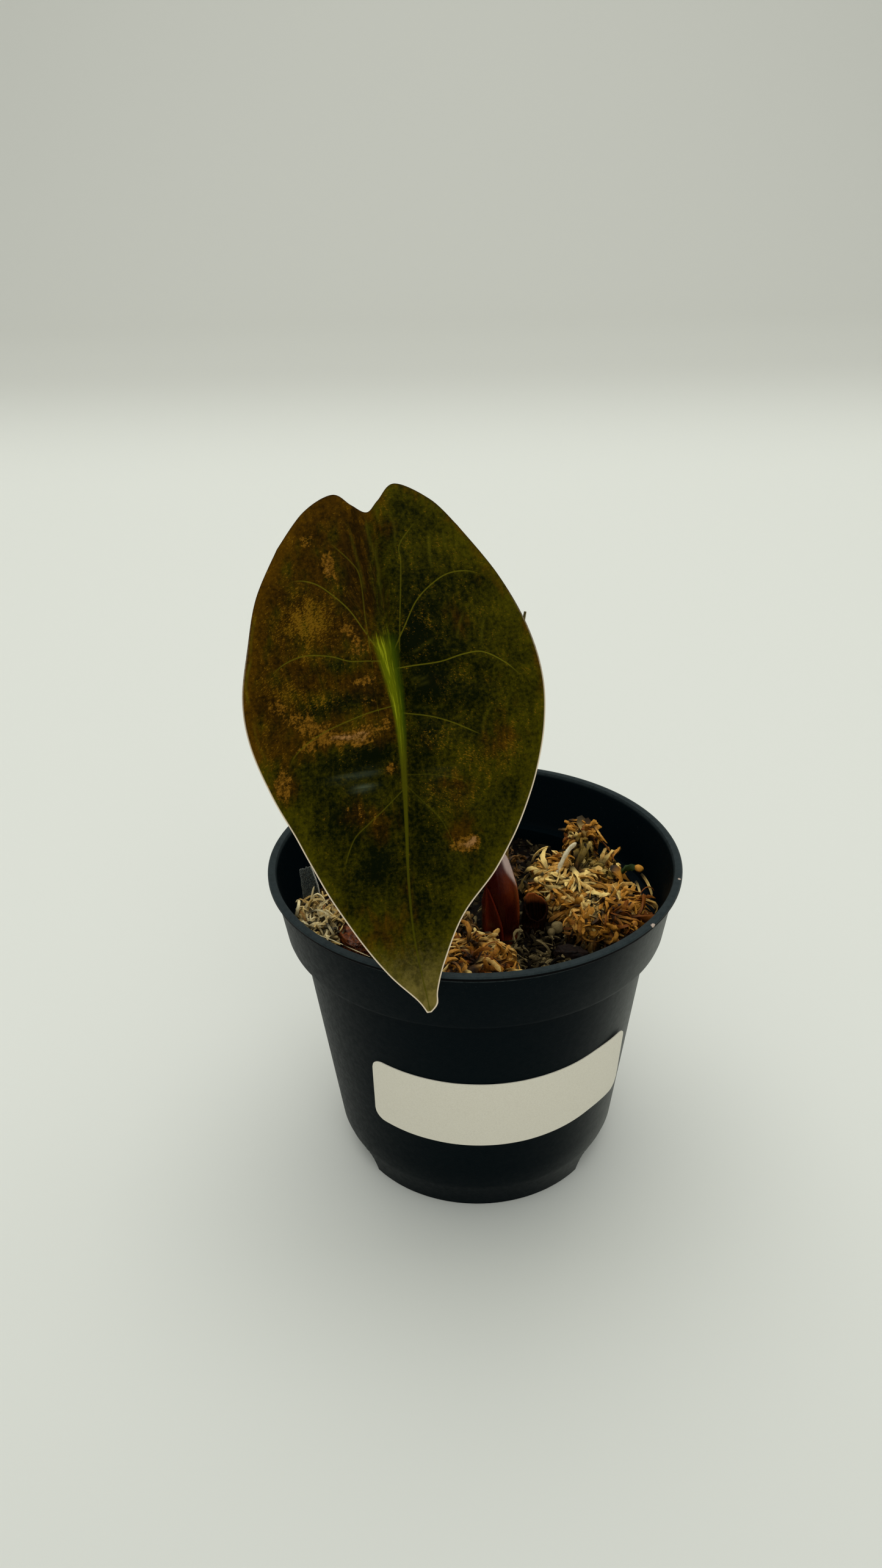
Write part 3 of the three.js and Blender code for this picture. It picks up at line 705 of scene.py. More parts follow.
@dataclass(frozen=True)
class MixCrumb:
    """Dark wet potting mix with small pale bits."""

    name: str = "potting_mix"
    dark: Rgb = rgb(3, 2, 1)
    brown: Rgb = rgb(22, 12, 4)
    pale: Rgb = rgb(196, 172, 116)

    def material(self, effects: Effects) -> Material:
        """The finish as a material, which reads each vertex's tint."""
        s = Surface(self.name)
        place = s.place()
        grain = s.effect(effects.grain, Place=place, Scale=1.1)
        bits = s.effect(effects.speckle, Place=place, Scale=0.9, Share=0.1, Size=0.3)
        tint = s.math("MAXIMUM", s.attribute("tint"), s.times(bits, 0.5))
        ground = s.blend(s.band(grain, 0.42, 0.66), self.dark, self.brown)
        colour = s.blend(tint, ground, s.blend(grain, self.brown, self.pale))
        return s.close(
            colour, s.band(grain, 0.3, 0.7, 0.5, 0.85), s.bump(grain, 0.4), Specular_IOR_Level=0.05
        )


@dataclass(frozen=True)
class MossDry:
    """Dried moss: cream to gold branches, with painted shade towards their roots, low in the clump and on
    faces that point down.
    """

    name: str
    cream: Rgb
    gold: Rgb
    rust: Rgb
    khaki: Rgb
    # Colour of the painted shade at the roots, low down and on faces that point down.
    painted_shade: Rgb = rgb(10, 5, 1)
    fresh: Rgb = rgb(34, 52, 8)

    def material(self, effects: Effects) -> Material:
        """The finish as a material, which reads each vertex's tint, reach, rise and khaki share; reach and
        rise steer its painted shade.
        """
        s = Surface(self.name)
        place = s.place()
        leaflets = s.effect(effects.grain, Place=place, Scale=1.6)
        tint = s.total(s.attribute("tint"), (leaflets, 0.7), (s.noise(place, 0.35, 2.0), 0.5))
        warm = s.blend(s.band(tint, 0.05, 0.45), self.rust, self.gold)
        aged = s.total(s.attribute("khaki"), (s.noise(place, 0.2, 2.0), 1.2))
        warm = s.blend(s.band(aged, 0.2, 0.5, 0.0, 0.85), warm, self.khaki)
        colour = s.blend(s.band(tint, 0.45, 0.95), warm, self.cream)
        # Painted shade: darker at strand roots, in the cores' creases, low in the clump and on faces that
        # point down.
        facing = s.part(s.node("ShaderNodeNewGeometry").outputs["Normal"], 2)
        light = s.times(
            s.band(s.attribute("reach"), 0.05, 0.55, 0.05, 1.0),
            s.band(facing, -0.8, 0.45, 0.3, 1.0),
            s.band(s.attribute("rise"), 0.0, 0.75, 0.16, 1.0),
            s.band(leaflets, 0.3, 0.55, 0.7, 1.0),
        )
        colour = s.blend(light, self.painted_shade, colour)
        colour = s.blend(s.band(s.attribute("tint"), 1.6, 1.8), colour, self.fresh)
        rough = s.band(leaflets, 0.3, 0.7, 0.45, 0.8)
        return s.close(colour, rough, s.bump(leaflets, 0.15), Specular_IOR_Level=0.2)


@dataclass(frozen=True)
class LeafFace:
    """The upper face: dark olive, bronze on one half, with copper patches and a bright midrib."""

    name: str = "leaf_face"
    green_dark: Rgb = rgb(7, 12, 0)
    green_light: Rgb = rgb(72, 66, 1)
    bronze_dark: Rgb = rgb(24, 14, 0)
    bronze_light: Rgb = rgb(84, 55, 1)
    speck: Rgb = rgb(122, 88, 14)
    copper: Rgb = rgb(66, 43, 3)
    blush: Rgb = rgb(124, 84, 20)
    raw: Rgb = rgb(168, 122, 74)
    vein: Rgb = rgb(100, 94, 16)
    midrib: Rgb = rgb(88, 94, 2)
    strand: Rgb = rgb(150, 152, 24)
    cord: Rgb = rgb(70, 68, 4)
    # Dark green of the painted shade on the midrib's right side.
    shade: Rgb = rgb(40, 56, 2)
    # Grey of the painted reflection streak on the blade.
    gleam: Rgb = rgb(96, 106, 84)
    rim: Rgb = rgb(224, 206, 178)
    rim_dark: Rgb = rgb(46, 28, 12)
    tip: Rgb = rgb(118, 104, 50)

    def ground(self, s: Surface, effects: Effects, grain: Socket) -> Socket:
        """The marbled ground under the veins.

        Args:
            s: The material's graph.
            effects: The shared effects.
            grain: Fine grain on the blade.

        Returns:
            The colour.
        """
        place = s.uv("leaf")
        flow = s.uv("flow")
        streak = s.effect(effects.streaks, Place=flow, Scale=0.9, Stretch=0.35)
        cloud = s.noise(place, 0.2, 5.0, 0.6)
        fine = s.noise(place, 1.6, 5.0, 0.7)
        # The light number sets how light the ground is: partly the blade's own mottling, partly painted shade
        # beside the midrib and painted light and shade between the veins.
        tone = s.total(s.attribute("light"), (cloud, 0.8), (streak, 0.6), (fine, 1.1), (grain, 0.25))
        hue = s.total(s.attribute("bronze"), (cloud, -0.9), (streak, 0.6), (fine, 0.3))
        bronzed = s.band(hue, 0.3, 0.7)
        level = s.band(tone, 0.0, 1.0)
        colour = s.blend(
            bronzed,
            s.blend(level, self.green_dark, self.green_light),
            s.blend(level, self.bronze_dark, self.bronze_light),
        )
        sand = s.noise(s.scaled(flow, (0.8, 1.2, 1.0)), 3.0, 3.0, 0.75)
        crowd = s.total(s.times(s.attribute("crowd"), 0.62), (sand, 1.15), (cloud, 0.4), (streak, 0.4))
        colour = s.blend(s.band(crowd, 0.13, 0.26, 0.0, 0.7), colour, self.speck)
        jagged = s.cells(s.scaled(place, (1.0, 1.25, 1.0)), 0.7, distance="CHEBYCHEV")
        patch = s.total(s.attribute("copper"), (jagged, -0.22), (fine, 1.1), (streak, 0.7), (sand, 0.35))
        inner = s.blend(
            s.band(s.total(sand, (fine, 1.8), (streak, 0.8)), 0.34, 0.74), self.copper, self.blush
        )
        inner = s.blend(
            s.band(s.total(s.attribute("copper"), (fine, 0.8)), 0.66, 0.92, 0.0, 0.8), inner, self.raw
        )
        shown = s.times(s.band(patch, 0.3, 0.5, 0.0, 0.9), s.band(sand, 0.3, 0.5, 0.4, 1.0))
        colour = s.blend(shown, colour, inner)
        turn = s.math("ARCTAN2", s.part(flow, 0), s.math("SUBTRACT", 3.0, s.attribute("down")))
        fan = s.node("ShaderNodeCombineXYZ", {0: s.times(turn, 9.0), 1: s.times(s.attribute("down"), 0.14)})
        rays = s.noise(fan.outputs[0], 1.5, 4.0, 0.65)
        colour = s.blend(
            s.times(s.attribute("notch"), s.band(rays, 0.5, 0.44, 0.7, 0.0)), colour, self.bronze_dark
        )
        colour = s.blend(
            s.times(s.attribute("notch"), s.band(rays, 0.54, 0.64, 0.0, 0.5)), colour, self.copper
        )
        # Painted reflection: pale grey streaks where the gleam spots lie.
        drawn = s.noise(s.scaled(place, (0.1, 1.3, 1.0), (0.0, 0.0, -6.0)), 1.0, 2.0, 0.5)
        return s.blend(s.times(s.attribute("gleam"), s.band(drawn, 0.4, 0.62, 0.3, 1.0)), colour, self.gleam)

    def midrib_colour(self, s: Surface) -> tuple[Socket, Socket]:
        """The midrib's bundle of strands: its colour, and how far it shows."""
        share, down = s.attribute("midrib"), s.attribute("down")
        bundle = s.node("ShaderNodeCombineXYZ", {0: s.times(share, 2.4), 1: s.times(down, 0.09)})
        strands = s.noise(bundle.outputs[0], 1.7, 3.0, 0.7)
        rib = s.blend(s.band(strands, 0.5, 0.64, 0.0, 0.85), self.midrib, self.strand)
        # Painted shade: the midrib darkens towards its right side, beside the valley.
        rib = s.blend(s.band(share, -0.3, 0.8, 0.0, 0.9), rib, self.shade)
        rib = s.blend(s.band(down, 12.0, 22.0), rib, self.cord)
        body = s.band(s.total(s.math("ABSOLUTE", share), (strands, 0.9)), 0.5, 1.35, 1.0, 0.0)
        begun = s.band(s.total(down, (strands, 5.0)), -1.2, 2.2)
        return rib, s.times(body, begun, s.band(down, 28.0, 44.0, 1.0, 0.7))

    def material(self, effects: Effects) -> Material:
        """The finish as a material, which reads the blade's own numbers."""
        s = Surface(self.name)
        place = s.uv("leaf")
        grain = s.effect(effects.grain, Place=place, Scale=1.7)
        colour = self.ground(s, effects, grain)
        down, gap = s.attribute("down"), s.math("ABSOLUTE", s.attribute("vein_gap"))
        colour = s.blend(s.times(s.attribute("minor"), s.band(grain, 0.3, 0.6, 0.5, 1.0)), colour, self.vein)
        line = s.times(s.band(gap, 0.03, 0.15, 1.0, 0.0), s.attribute("vein_run"))
        colour = s.blend(s.times(line, 0.85), colour, self.vein)
        mottled = s.band(s.noise(place, 0.55, 5.0, 0.7), 0.38, 0.6, 0.45, 0.9)
        paled = s.band(s.total(down, (grain, 14.0)), 46.5, 58.5)
        colour = s.blend(s.times(paled, mottled), colour, self.tip)
        rib, shown = self.midrib_colour(s)
        colour = s.blend(shown, colour, rib)
        margin = s.blend(s.band(s.total(down, (grain, 20.0)), -6.0, 12.0), self.rim_dark, self.rim)
        edge = s.band(s.attribute("rim"), 0.1, 0.26, 1.0, 0.0)
        colour = s.blend(s.times(edge, s.band(down, -4.0, 30.0, 0.5, 1.0)), colour, margin)
        groove = s.times(s.band(gap, 0.0, 0.5, 1.0, 0.0), s.attribute("vein_run"))
        relief = s.math("SUBTRACT", s.times(grain, 0.45), s.times(groove, 0.5))
        return s.close(
            colour, s.band(grain, 0.3, 0.7, 0.42, 0.58), s.bump(relief, 0.1), Specular_IOR_Level=0.015
        )


@dataclass(frozen=True)
class LeafBack:
    """The underside: paler, with a purple flush and darker standing veins."""

    name: str = "leaf_back"
    pale: Rgb = rgb(104, 98, 62)
    flush: Rgb = rgb(96, 54, 52)
    vein: Rgb = rgb(84, 44, 40)
    midrib: Rgb = rgb(150, 138, 86)

    def material(self, effects: Effects) -> Material:
        """The finish as a material, which reads the blade's own numbers."""
        s = Surface(self.name)
        place = s.uv("leaf")
        grain = s.effect(effects.grain, Place=place, Scale=1.5)
        streak = s.effect(effects.streaks, Place=s.uv("flow"), Scale=0.7, Stretch=0.25)
        flushed = s.band(s.math("ADD", streak, s.times(grain, 0.3)), 0.45, 0.85)
        colour = s.blend(flushed, self.pale, self.flush)
        gap = s.math("ABSOLUTE", s.attribute("vein_gap"))
        line = s.times(s.band(gap, 0.1, 0.45, 1.0, 0.0), s.attribute("vein_run"))
        colour = s.blend(line, colour, self.vein)
        body = s.band(s.math("ABSOLUTE", s.attribute("midrib")), 0.7, 1.4, 1.0, 0.0)
        colour = s.blend(s.times(body, s.band(s.attribute("down"), -1.0, 3.0)), colour, self.midrib)
        return s.close(
            colour, s.band(grain, 0.3, 0.7, 0.42, 0.58), s.bump(grain, 0.1), Specular_IOR_Level=0.4
        )


@dataclass(frozen=True)
class ShootSkin:
    """The skin of the stalk, sheath, new leaf or scale leaf, streaked along its length."""

    name: str
    low: Rgb
    high: Rgb
    glow: Rgb
    # Pale pink of the sheath's membrane, which also serves as painted highlight.
    film: Rgb = rgb(214, 186, 172)
    low_height: float = 50.0
    high_height: float = 66.0
    rough: float = 0.24
    gloss: float = 0.22
    streaked: float = 0.06

    def material(self, effects: Effects) -> Material:
        """The finish as a material, which reads each vertex's glow and film."""
        s = Surface(self.name)
        place = s.place()
        drawn = s.scaled(place, (1.6, 1.6, 0.16))
        streak = s.effect(effects.streaks, Place=drawn, Scale=2.2, Stretch=1.0)
        grain = s.effect(effects.grain, Place=place, Scale=1.6)
        colour = s.blend(s.band(s.height(place), self.low_height, self.high_height), self.low, self.high)
        colour = s.blend(s.band(streak, 0.4, 0.75, 0.0, self.streaked), colour, self.glow)
        lit = s.times(s.attribute("glow"), s.band(streak, 0.25, 0.6, 0.6, 1.0))
        colour = s.blend(lit, colour, self.glow)
        # The film number paints the pale membrane, which is partly a painted highlight on the sheath.
        film = s.times(s.attribute("film"), s.band(streak, 0.25, 0.65, 0.8, 1.0))
        colour = s.blend(film, colour, self.film)
        rough = s.band(grain, 0.3, 0.7, self.rough, self.rough + 0.14)
        normal = s.bump(s.math("ADD", streak, s.times(grain, 0.4)), 0.06)
        return s.close(
            colour, rough, normal, Specular_IOR_Level=self.gloss, Coat_Weight=0.3 * self.gloss,
            Coat_Roughness=0.12
        )


@dataclass(frozen=True)
class DryTissue:
    """Dead plant tissue or bark: streaked, papery or wet."""

    name: str
    dark: Rgb
    light: Rgb
    stretch: Point = (1.0, 1.0, 0.3)
    rough: float = 0.6
    depth: float = 0.2
    coat: float = 0.0

    def material(self, effects: Effects) -> Material:
        """The finish as a material."""
        s = Surface(self.name)
        place = s.place()
        streak = s.effect(effects.streaks, Place=s.scaled(place, self.stretch), Scale=1.4, Stretch=1.0)
        grain = s.effect(effects.grain, Place=place, Scale=1.5)
        tone = s.math("ADD", s.times(streak, 0.7), s.times(grain, 0.3))
        colour = s.blend(s.band(tone, 0.36, 0.66), self.dark, self.light)
        rough = s.band(grain, 0.3, 0.7, self.rough - 0.08, self.rough + 0.12)
        return s.close(
            colour, rough, s.bump(tone, self.depth), Specular_IOR_Level=0.12, Coat_Weight=self.coat,
            Coat_Roughness=0.15
        )


@dataclass(frozen=True)
class FilmSkin:
    """A clear papery film, whiter along its edges and folds, partly its own paler edges and partly painted
    highlight.
    """

    name: str = "dry_strip"
    clear: Rgb = rgb(120, 126, 116)
    white: Rgb = rgb(226, 224, 212)

    def material(self, effects: Effects) -> Material:
        """The finish as a material, which reads each vertex's edge number."""
        s = Surface(self.name)
        place = s.place()
        streak = s.effect(effects.streaks, Place=s.scaled(place, (1.6, 1.6, 0.2)), Scale=1.6, Stretch=1.0)
        edge = s.total(s.attribute("edge"), (streak, 0.25))
        # The edge number whitens the strip towards its edges, partly painted highlight.
        colour = s.blend(s.band(edge, 0.3, 0.8), self.clear, self.white)
        rough = s.band(streak, 0.3, 0.7, 0.2, 0.34)
        return s.close(
            colour, rough, s.bump(streak, 0.06), Specular_IOR_Level=0.2,
            Alpha=s.band(edge, 0.1, 0.9, 0.12, 0.7)
        )


# Pot, label and mix


@dataclass(frozen=True)
class NurseryPot:
    """A thin tapered pot with a wider collar, a lip, a flat middle to its floor and two wide drain arches."""

    profile: tuple[Pair, ...] = (
        (0.0, 0.0), (18.25, 0.0), (18.42, 0.15), (19.1, 5.2), (26.2, 5.2), (24.85, 0.15), (25.0, 0.0),
        (25.4, 0.0), (25.62, 0.15), (25.7, 0.6), (27.1, 5.4), (27.5, 6.5), (28.0, 10.5), (32.8, 48.8),
        (33.2, 49.3), (34.7, 49.45), (35.2, 49.7), (35.4, 50.3), (37.0, 60.8), (37.3, 61.0),
        (37.85, 61.05), (38.0, 61.25), (38.0, 61.7), (37.85, 61.92), (37.6, 62.0), (36.9, 62.0),
        (36.65, 61.9), (36.5, 61.6), (36.1, 60.4), (34.5, 51.2), (33.9, 50.3), (32.2, 50.1), (31.9, 48.8),
        (26.67, 7.0), (26.1, 6.4), (18.2, 6.4), (17.5, 1.2), (0.0, 1.2),
    )
    arch_centres: tuple[float, ...] = (90.0, 270.0)
    arch_steps: tuple[Pair, ...] = ((41.0, 2.4), (40.8, 3.6), (40.2, 4.4), (39.2, 4.9), (37.0, 5.2))
    arch_reach: Pair = (20.0, 30.0)
    steps: int = 180

    def outer(self, height: float) -> float:
        """The tapered wall's outer radius at a height."""
        return mix(26.7, 32.8, height / 49.3)

    @staticmethod
    def inner(height: np.ndarray | float) -> np.ndarray:
        """The inner radius at a height or at many."""
        heights = [7.0, 48.8, 50.1, 50.3, 51.2, 60.4, 61.7]
        return np.interp(height, heights, [26.67, 31.9, 32.2, 33.9, 34.5, 36.1, 36.5])

    def _cutters(self) -> Iterator[Body]:
        """The blocks that cut the arches, each arch in steps that narrow towards its top."""
        (near, far), low = self.arch_reach, -1.0
        for centre in self.arch_centres:
            for half, height in self.arch_steps:
                block = bmesh.new()
                turn = Matrix.Rotation(math.radians(centre - 90 - half), 4, "Z")
                section = ((near, low), (far, low), (far, height), (near, height))
                face = block.faces.new([block.verts.new(turn @ Vector((r, 0.0, z))) for r, z in section])
                bmesh.ops.spin(block, geom=[face], axis=(0, 0, 1), angle=math.radians(2 * half), steps=30)
                bmesh.ops.remove_doubles(block, verts=block.verts, dist=1e-4)
                yield closed(block)

    def build(self) -> Body:
        """The pot's mesh."""
        bm = bmesh.new()
        verts = [bm.verts.new((r, 0.0, z)) for r, z in self.profile]
        edges = [bm.edges.new(pair) for pair in zip(verts, verts[1:])]
        bmesh.ops.spin(
            bm, geom=verts + edges, axis=(0, 0, 1), angle=math.tau, steps=self.steps, use_merge=True
        )
        bmesh.ops.remove_doubles(bm, verts=bm.verts, dist=1e-4)
        bmesh.ops.recalc_face_normals(bm, faces=bm.faces)
        for block in self._cutters():
            bm = carved(bm, block)
        return bm


@dataclass(frozen=True)
class BlankLabel:
    """A bare paper label round the front of the pot. Its right end lifts a little."""

    pot: NurseryPot
    length: float = 51.0
    height: float = 15.9
    middle_height: float = 26.2
    middle_turn: float = 11.1
    corner: float = 2.3
    paper: float = 0.14
    off: float = 0.1
    lifted: float = 9.0
    lift: float = 0.6

    def build(self) -> Body:
        """The label's mesh."""
        half, rise = self.length / 2, self.height / 2
        taper = math.atan2(self.pot.outer(49.3) - self.pot.outer(0.0), 49.3)
        unrolled = self.pot.outer(self.middle_height) / math.sin(taper)

        def place(s: float, t: float) -> Vector:
            """The outer surface point at unit coordinates, wrapped on the pot's cone."""
            across = half * math.sin((2 * s - 1) * 0.41 * math.pi) / math.sin(0.41 * math.pi)
            into = max(abs(across) - (half - self.corner), 0.0)
            drop = self.corner - math.sqrt(max(self.corner**2 - into**2, 0.0))
            from_apex = unrolled + (2 * t - 1) * (rise - drop)
            up = self.middle_height + (math.hypot(across, from_apex) - unrolled) * math.cos(taper)
            turn = math.radians(self.middle_turn) + math.atan2(across, from_apex) / math.sin(taper)
            away = self.lift * smooth((across - half + self.lifted) / self.lifted)
            away += 0.03 * noise.noise(Vector((across * 0.25, up * 0.25, 3.0)))
            radius = self.pot.outer(up) + self.off + self.paper + away
            return Vector((radius * math.sin(turn), -radius * math.cos(turn), up))

        return thickened(sheet(110, 16, place), self.paper)


@dataclass(frozen=True)
class PottingMix:
    """The mix that fills the pot: an uneven bed strewn with crumbs and threads."""

    pot: NurseryPot
    seed: int = 11
    top: float = 47.5
    floor: tuple[Pair, ...] = ((26.36, 6.9), (17.7, 6.9), (17.0, 1.7))
    faces: int = 150
    crumbs: int = 900
    threads: int = 300
    curls: int = 230

    def surface(self, x: np.ndarray | float, y: np.ndarray | float) -> np.ndarray:
        """The height of the bed at a place or at many."""
        waves = 0.55 * np.sin(0.42 * x + 0.8) * np.cos(0.36 * y) + 0.35 * np.sin(0.95 * x - 0.7 * y)
        away = ((x - 15.0) / 8.0) ** 2 + ((y + 11.0) / 7.0) ** 2
        return self.top + waves - 1.3 * np.exp(-away)

    def _bed(self) -> Body:
        """The bed and the body under it."""
        edge = float(self.pot.inner(self.top)) - 0.06

        def place(s: float, t: float) -> Vector:
            """The bed's point at unit coordinates, mapped from a square to a disc."""
            a, b = 2 * s - 1, 2 * t - 1
            x, y = a * math.sqrt(1 - b * b / 2) * edge, b * math.sqrt(1 - a * a / 2) * edge
            spot = Vector((x, y, 0.0))
            rough = 0.5 * noise.fractal(spot * 0.9, 0.9, 2.0, 4) + 0.35 * noise.noise(spot * 2.3)
            return Vector((x, y, float(self.surface(x, y)) + rough))

        bm = sheet(self.faces, self.faces, place)
        tint = number_layer(bm, "tint")
        for vert in bm.verts:
            vert[tint] = max(0.0, noise.noise(vert.co * 1.7) - 0.35)
        rim = [edge for edge in bm.edges if edge.is_boundary]
        for radius, height in self.floor:
            made = bmesh.ops.extrude_edge_only(bm, edges=rim)["geom"]
            rim = [item for item in made if isinstance(item, bmesh.types.BMEdge)]
            for vert in (item for item in made if isinstance(item, bmesh.types.BMVert)):
                shrink = radius / math.hypot(vert.co.x, vert.co.y)
                vert.co = Vector((vert.co.x * shrink, vert.co.y * shrink, height))
        return closed(bm)

    def build(self) -> Body:
        """The mix's mesh."""
        draws = random.Random(self.seed)
        bm = self._bed()
        heap = bmesh.new()
        tint = number_layer(heap, "tint")
        for _ in range(self.crumbs):
            crumb = bmesh.new()
            layer = number_layer(crumb, "tint")
            bmesh.ops.create_icosphere(crumb, subdivisions=1, radius=1.0)
            reach, turn = 31.0 * math.sqrt(draws.random()), draws.random() * math.tau
            x, y = reach * math.cos(turn), reach * math.sin(turn)
            size = mix(0.25, 1.1, draws.random() ** 2.5)
            pale = 0.6 if draws.random() < 0.05 else 0.1 * draws.random()
            stretch = [size * mix(0.5, 1.3, draws.random()) for _ in range(3)]
            tumble = Matrix.Rotation(draws.random() * 3, 3, Vector([draws.random() + 0.1 for _ in range(3)]))
            spot = Vector((x, y, float(self.surface(x, y)) + 0.25))
            for vert in crumb.verts:
                lump = vert.co * mix(0.8, 1.25, draws.random())
                vert.co = tumble @ Vector(p * q for p, q in zip(lump, stretch)) + spot
                vert[layer] = pale
            poured(heap, crumb)
        litter = Tangle()
        for index in range(self.threads):
            if index % 2:
                x, y = draws.gauss(12.0, 6.5), draws.gauss(-15.5, 6.0)
            else:
                x, y = draws.uniform(-30.0, 30.0), draws.uniform(-30.0, 30.0)
            start = Vector((x, y, float(self.surface(x, y)) + draws.uniform(0.3, 2.2)))
            heading = draws.random() * math.tau
            points = [start]
            for step in range(3):
                heading += draws.uniform(-0.7, 0.7)
                pace = draws.uniform(0.5, 1.5)
                way = Vector((math.cos(heading), math.sin(heading), draws.uniform(-0.25, 0.3)))
                points.append(points[-1] + way * pace)
            kind = Strand.FLAT if draws.random() < 0.3 else Strand.PLAIN
            litter.add(kind, points, draws.uniform(0.08, 0.36), 0.75 * draws.random() ** 3, draws)
        for _ in range(self.curls):
            x, y = draws.gauss(11.5, 5.0), draws.gauss(-17.0, 5.0)
            middle = Vector((x, y, float(self.surface(x, y)) + draws.uniform(0.5, 1.9)))
            kind = Strand.LEAFY if draws.random() < 0.45 else Strand.PLAIN
            curl = looped(middle, draws.uniform(0.6, 1.6), draws)
            litter.add(kind, curl, draws.uniform(0.18, 0.4), draws.random() ** 1.6, draws)
        for pod in MIX_PODS:
            poured(heap, pod.build())
        litter.pour(heap, self.keep)
        poured(bm, heap)
        return bm

    def keep(self, places: np.ndarray) -> np.ndarray:
        """Moves places above the bed and inside the wall."""
        kept = places.copy()
        kept[:, 2] = np.maximum(kept[:, 2], self.surface(kept[:, 0], kept[:, 1]) + 0.15)
        kept[:, 2] = np.minimum(kept[:, 2], 60.6)
        reach = np.hypot(kept[:, 0], kept[:, 1])
        share = np.minimum(1.0, (self.pot.inner(kept[:, 2]) - 0.25) / np.maximum(reach, 1e-6))
        kept[:, 0] *= share
        kept[:, 1] *= share
        return kept


# Strands


class Strand(Enum):
    """The small shapes that moss and litter are made of."""

    LEAFY = "leafy"
    FLAT = "flat"
    PLAIN = "plain"


@dataclass(frozen=True)
class StrandForm:
    """A small shape: its sides, how wide it is along its length, and how flat."""

    sides: int
    shares: tuple[float, ...]
    widths: tuple[float, ...]
    flatness: float
    twist: float

    def prototype(self) -> Body:
        """The shape, one unit long and about one unit in radius."""

        def place(around: float, share: float) -> Vector:
            """The surface point at unit coordinates."""
            row = round(share * (len(self.shares) - 1))
            turn = around * math.tau
            width = self.widths[row]
            return Vector((math.cos(turn) * width, math.sin(turn) * width * self.flatness, self.shares[row]))

        return closed(rolled(self.sides, len(self.shares) - 1, place))


STRAND_FORMS = {
    Strand.LEAFY: StrandForm(
        5,
        (0.0, 0.16, 0.3, 0.42, 0.56, 0.68, 0.8, 0.9, 1.0),
        (0.6, 1.0, 0.78, 1.1, 0.8, 1.05, 0.75, 0.85, 0.3),
        0.62,
        2.6,
    ),
    Strand.FLAT: StrandForm(
        5, (0.0, 0.15, 0.35, 0.6, 0.85, 1.0), (0.4, 0.8, 1.0, 0.85, 0.6, 0.12), 0.36, 2.4
    ),
    Strand.PLAIN: StrandForm(
        4,
        (0.0, 0.14, 0.3, 0.46, 0.62, 0.78, 0.92, 1.0),
        (0.8, 1.0, 0.95, 0.95, 0.9, 0.85, 0.7, 0.3),
        1.0,
        0.0,
    ),
}


class Tangle:
    """Many bent copies of the small shapes."""

    def __init__(self) -> None:
        """Starts with no strands."""
        self.rows: dict[Strand, list[tuple]] = {}

    def add(
        self, strand: Strand, points: Sequence[Vector], width: float, tint: float, draws: random.Random
    ) -> None:
        """Adds a strand.

        Args:
            strand: Its shape.
            points: The four points that steer its curve.
            width: Its radius in millimetres.
            tint: Its colour number.
            draws: Gives its roll.
        """
        roll = draws.uniform(0.0, math.tau)
        self.rows.setdefault(strand, []).append((np.array(points, float), width, tint, roll))

    def pour(self, target: Body, keep: Keeper) -> None:
        """Adds every strand to a mesh.

        Args:
            target: The mesh that grows.
            keep: Moves places that lie where no strand may.
        """
        for strand, rows in self.rows.items():
            form = STRAND_FORMS[strand]
            single = form.prototype()
            for name in ("tint", "reach"):
                number_layer(single, name)
            unit = np.array([vert.co for vert in single.verts])
            carrier = packed(single, "prototype")
            crowd = bmesh.new()
            for _ in rows:
                crowd.from_mesh(carrier)
            bpy.data.meshes.remove(carrier)
            steer, width, tint, roll = (np.array(column) for column in zip(*rows))
            t = unit[:, 2]
            ease = np.stack([(1 - t) ** 3, 3 * t * (1 - t) ** 2, 3 * t**2 * (1 - t), t**3], axis=1)
            pace = np.stack(
                [-3 * (1 - t) ** 2, 3 * (1 - t) * (1 - 3 * t), 3 * t * (2 - 3 * t), 3 * t**2], axis=1
            )
            centre = np.einsum("nk,skj->snj", ease, steer)
            ahead = np.einsum("nk,skj->snj", pace, steer)
            ahead /= np.maximum(np.linalg.norm(ahead, axis=2, keepdims=True), 1e-6)
            chord = steer[:, 3] - steer[:, 0]
            slant = np.stack([np.sin(roll * 3), np.cos(roll * 5), np.sin(roll * 7) + 0.3], axis=1)
            side = np.cross(ahead, np.cross(chord, slant)[:, None, :])
            side /= np.maximum(np.linalg.norm(side, axis=2, keepdims=True), 1e-6)
            up = np.cross(side, ahead)
            turn = roll[:, None] + form.twist * t[None, :]
            a = (unit[:, 0] * np.cos(turn) - unit[:, 1] * np.sin(turn)) * width[:, None]
            b = (unit[:, 0] * np.sin(turn) + unit[:, 1] * np.cos(turn)) * width[:, None]
            places = keep((centre + side * a[..., None] + up * b[..., None]).reshape(-1, 3))
            # Each vertex keeps its share along the strand as its reach, which the moss finish paints as shade
            # towards the root.
            tints, shares = np.repeat(tint, len(t)).tolist(), np.tile(t, len(rows)).tolist()
            tint_layer, reach_layer = number_layer(crowd, "tint"), number_layer(crowd, "reach")
            for vert, spot, own, share in zip(crowd.verts, places.tolist(), tints, shares):
                vert.co = spot
                vert[tint_layer] = own
                vert[reach_layer] = share
            poured(target, crowd)


# Moss and debris


@dataclass(frozen=True)
class Sprig:
    """One of the source's sprigs, which a bundle of strands follows."""

    root: Point
    heading: float
    length: float
    rise: float
    swing: float

    def at(self, t: float) -> Vector:
        """The sprig's centre at a share of its length."""
        turn = self.heading + self.swing * t
        out = 0.85 * self.length * t
        x, y, z = self.root
        return Vector((x + out * math.cos(turn), y + out * math.sin(turn), z + self.rise * math.sin(2.2 * t)))


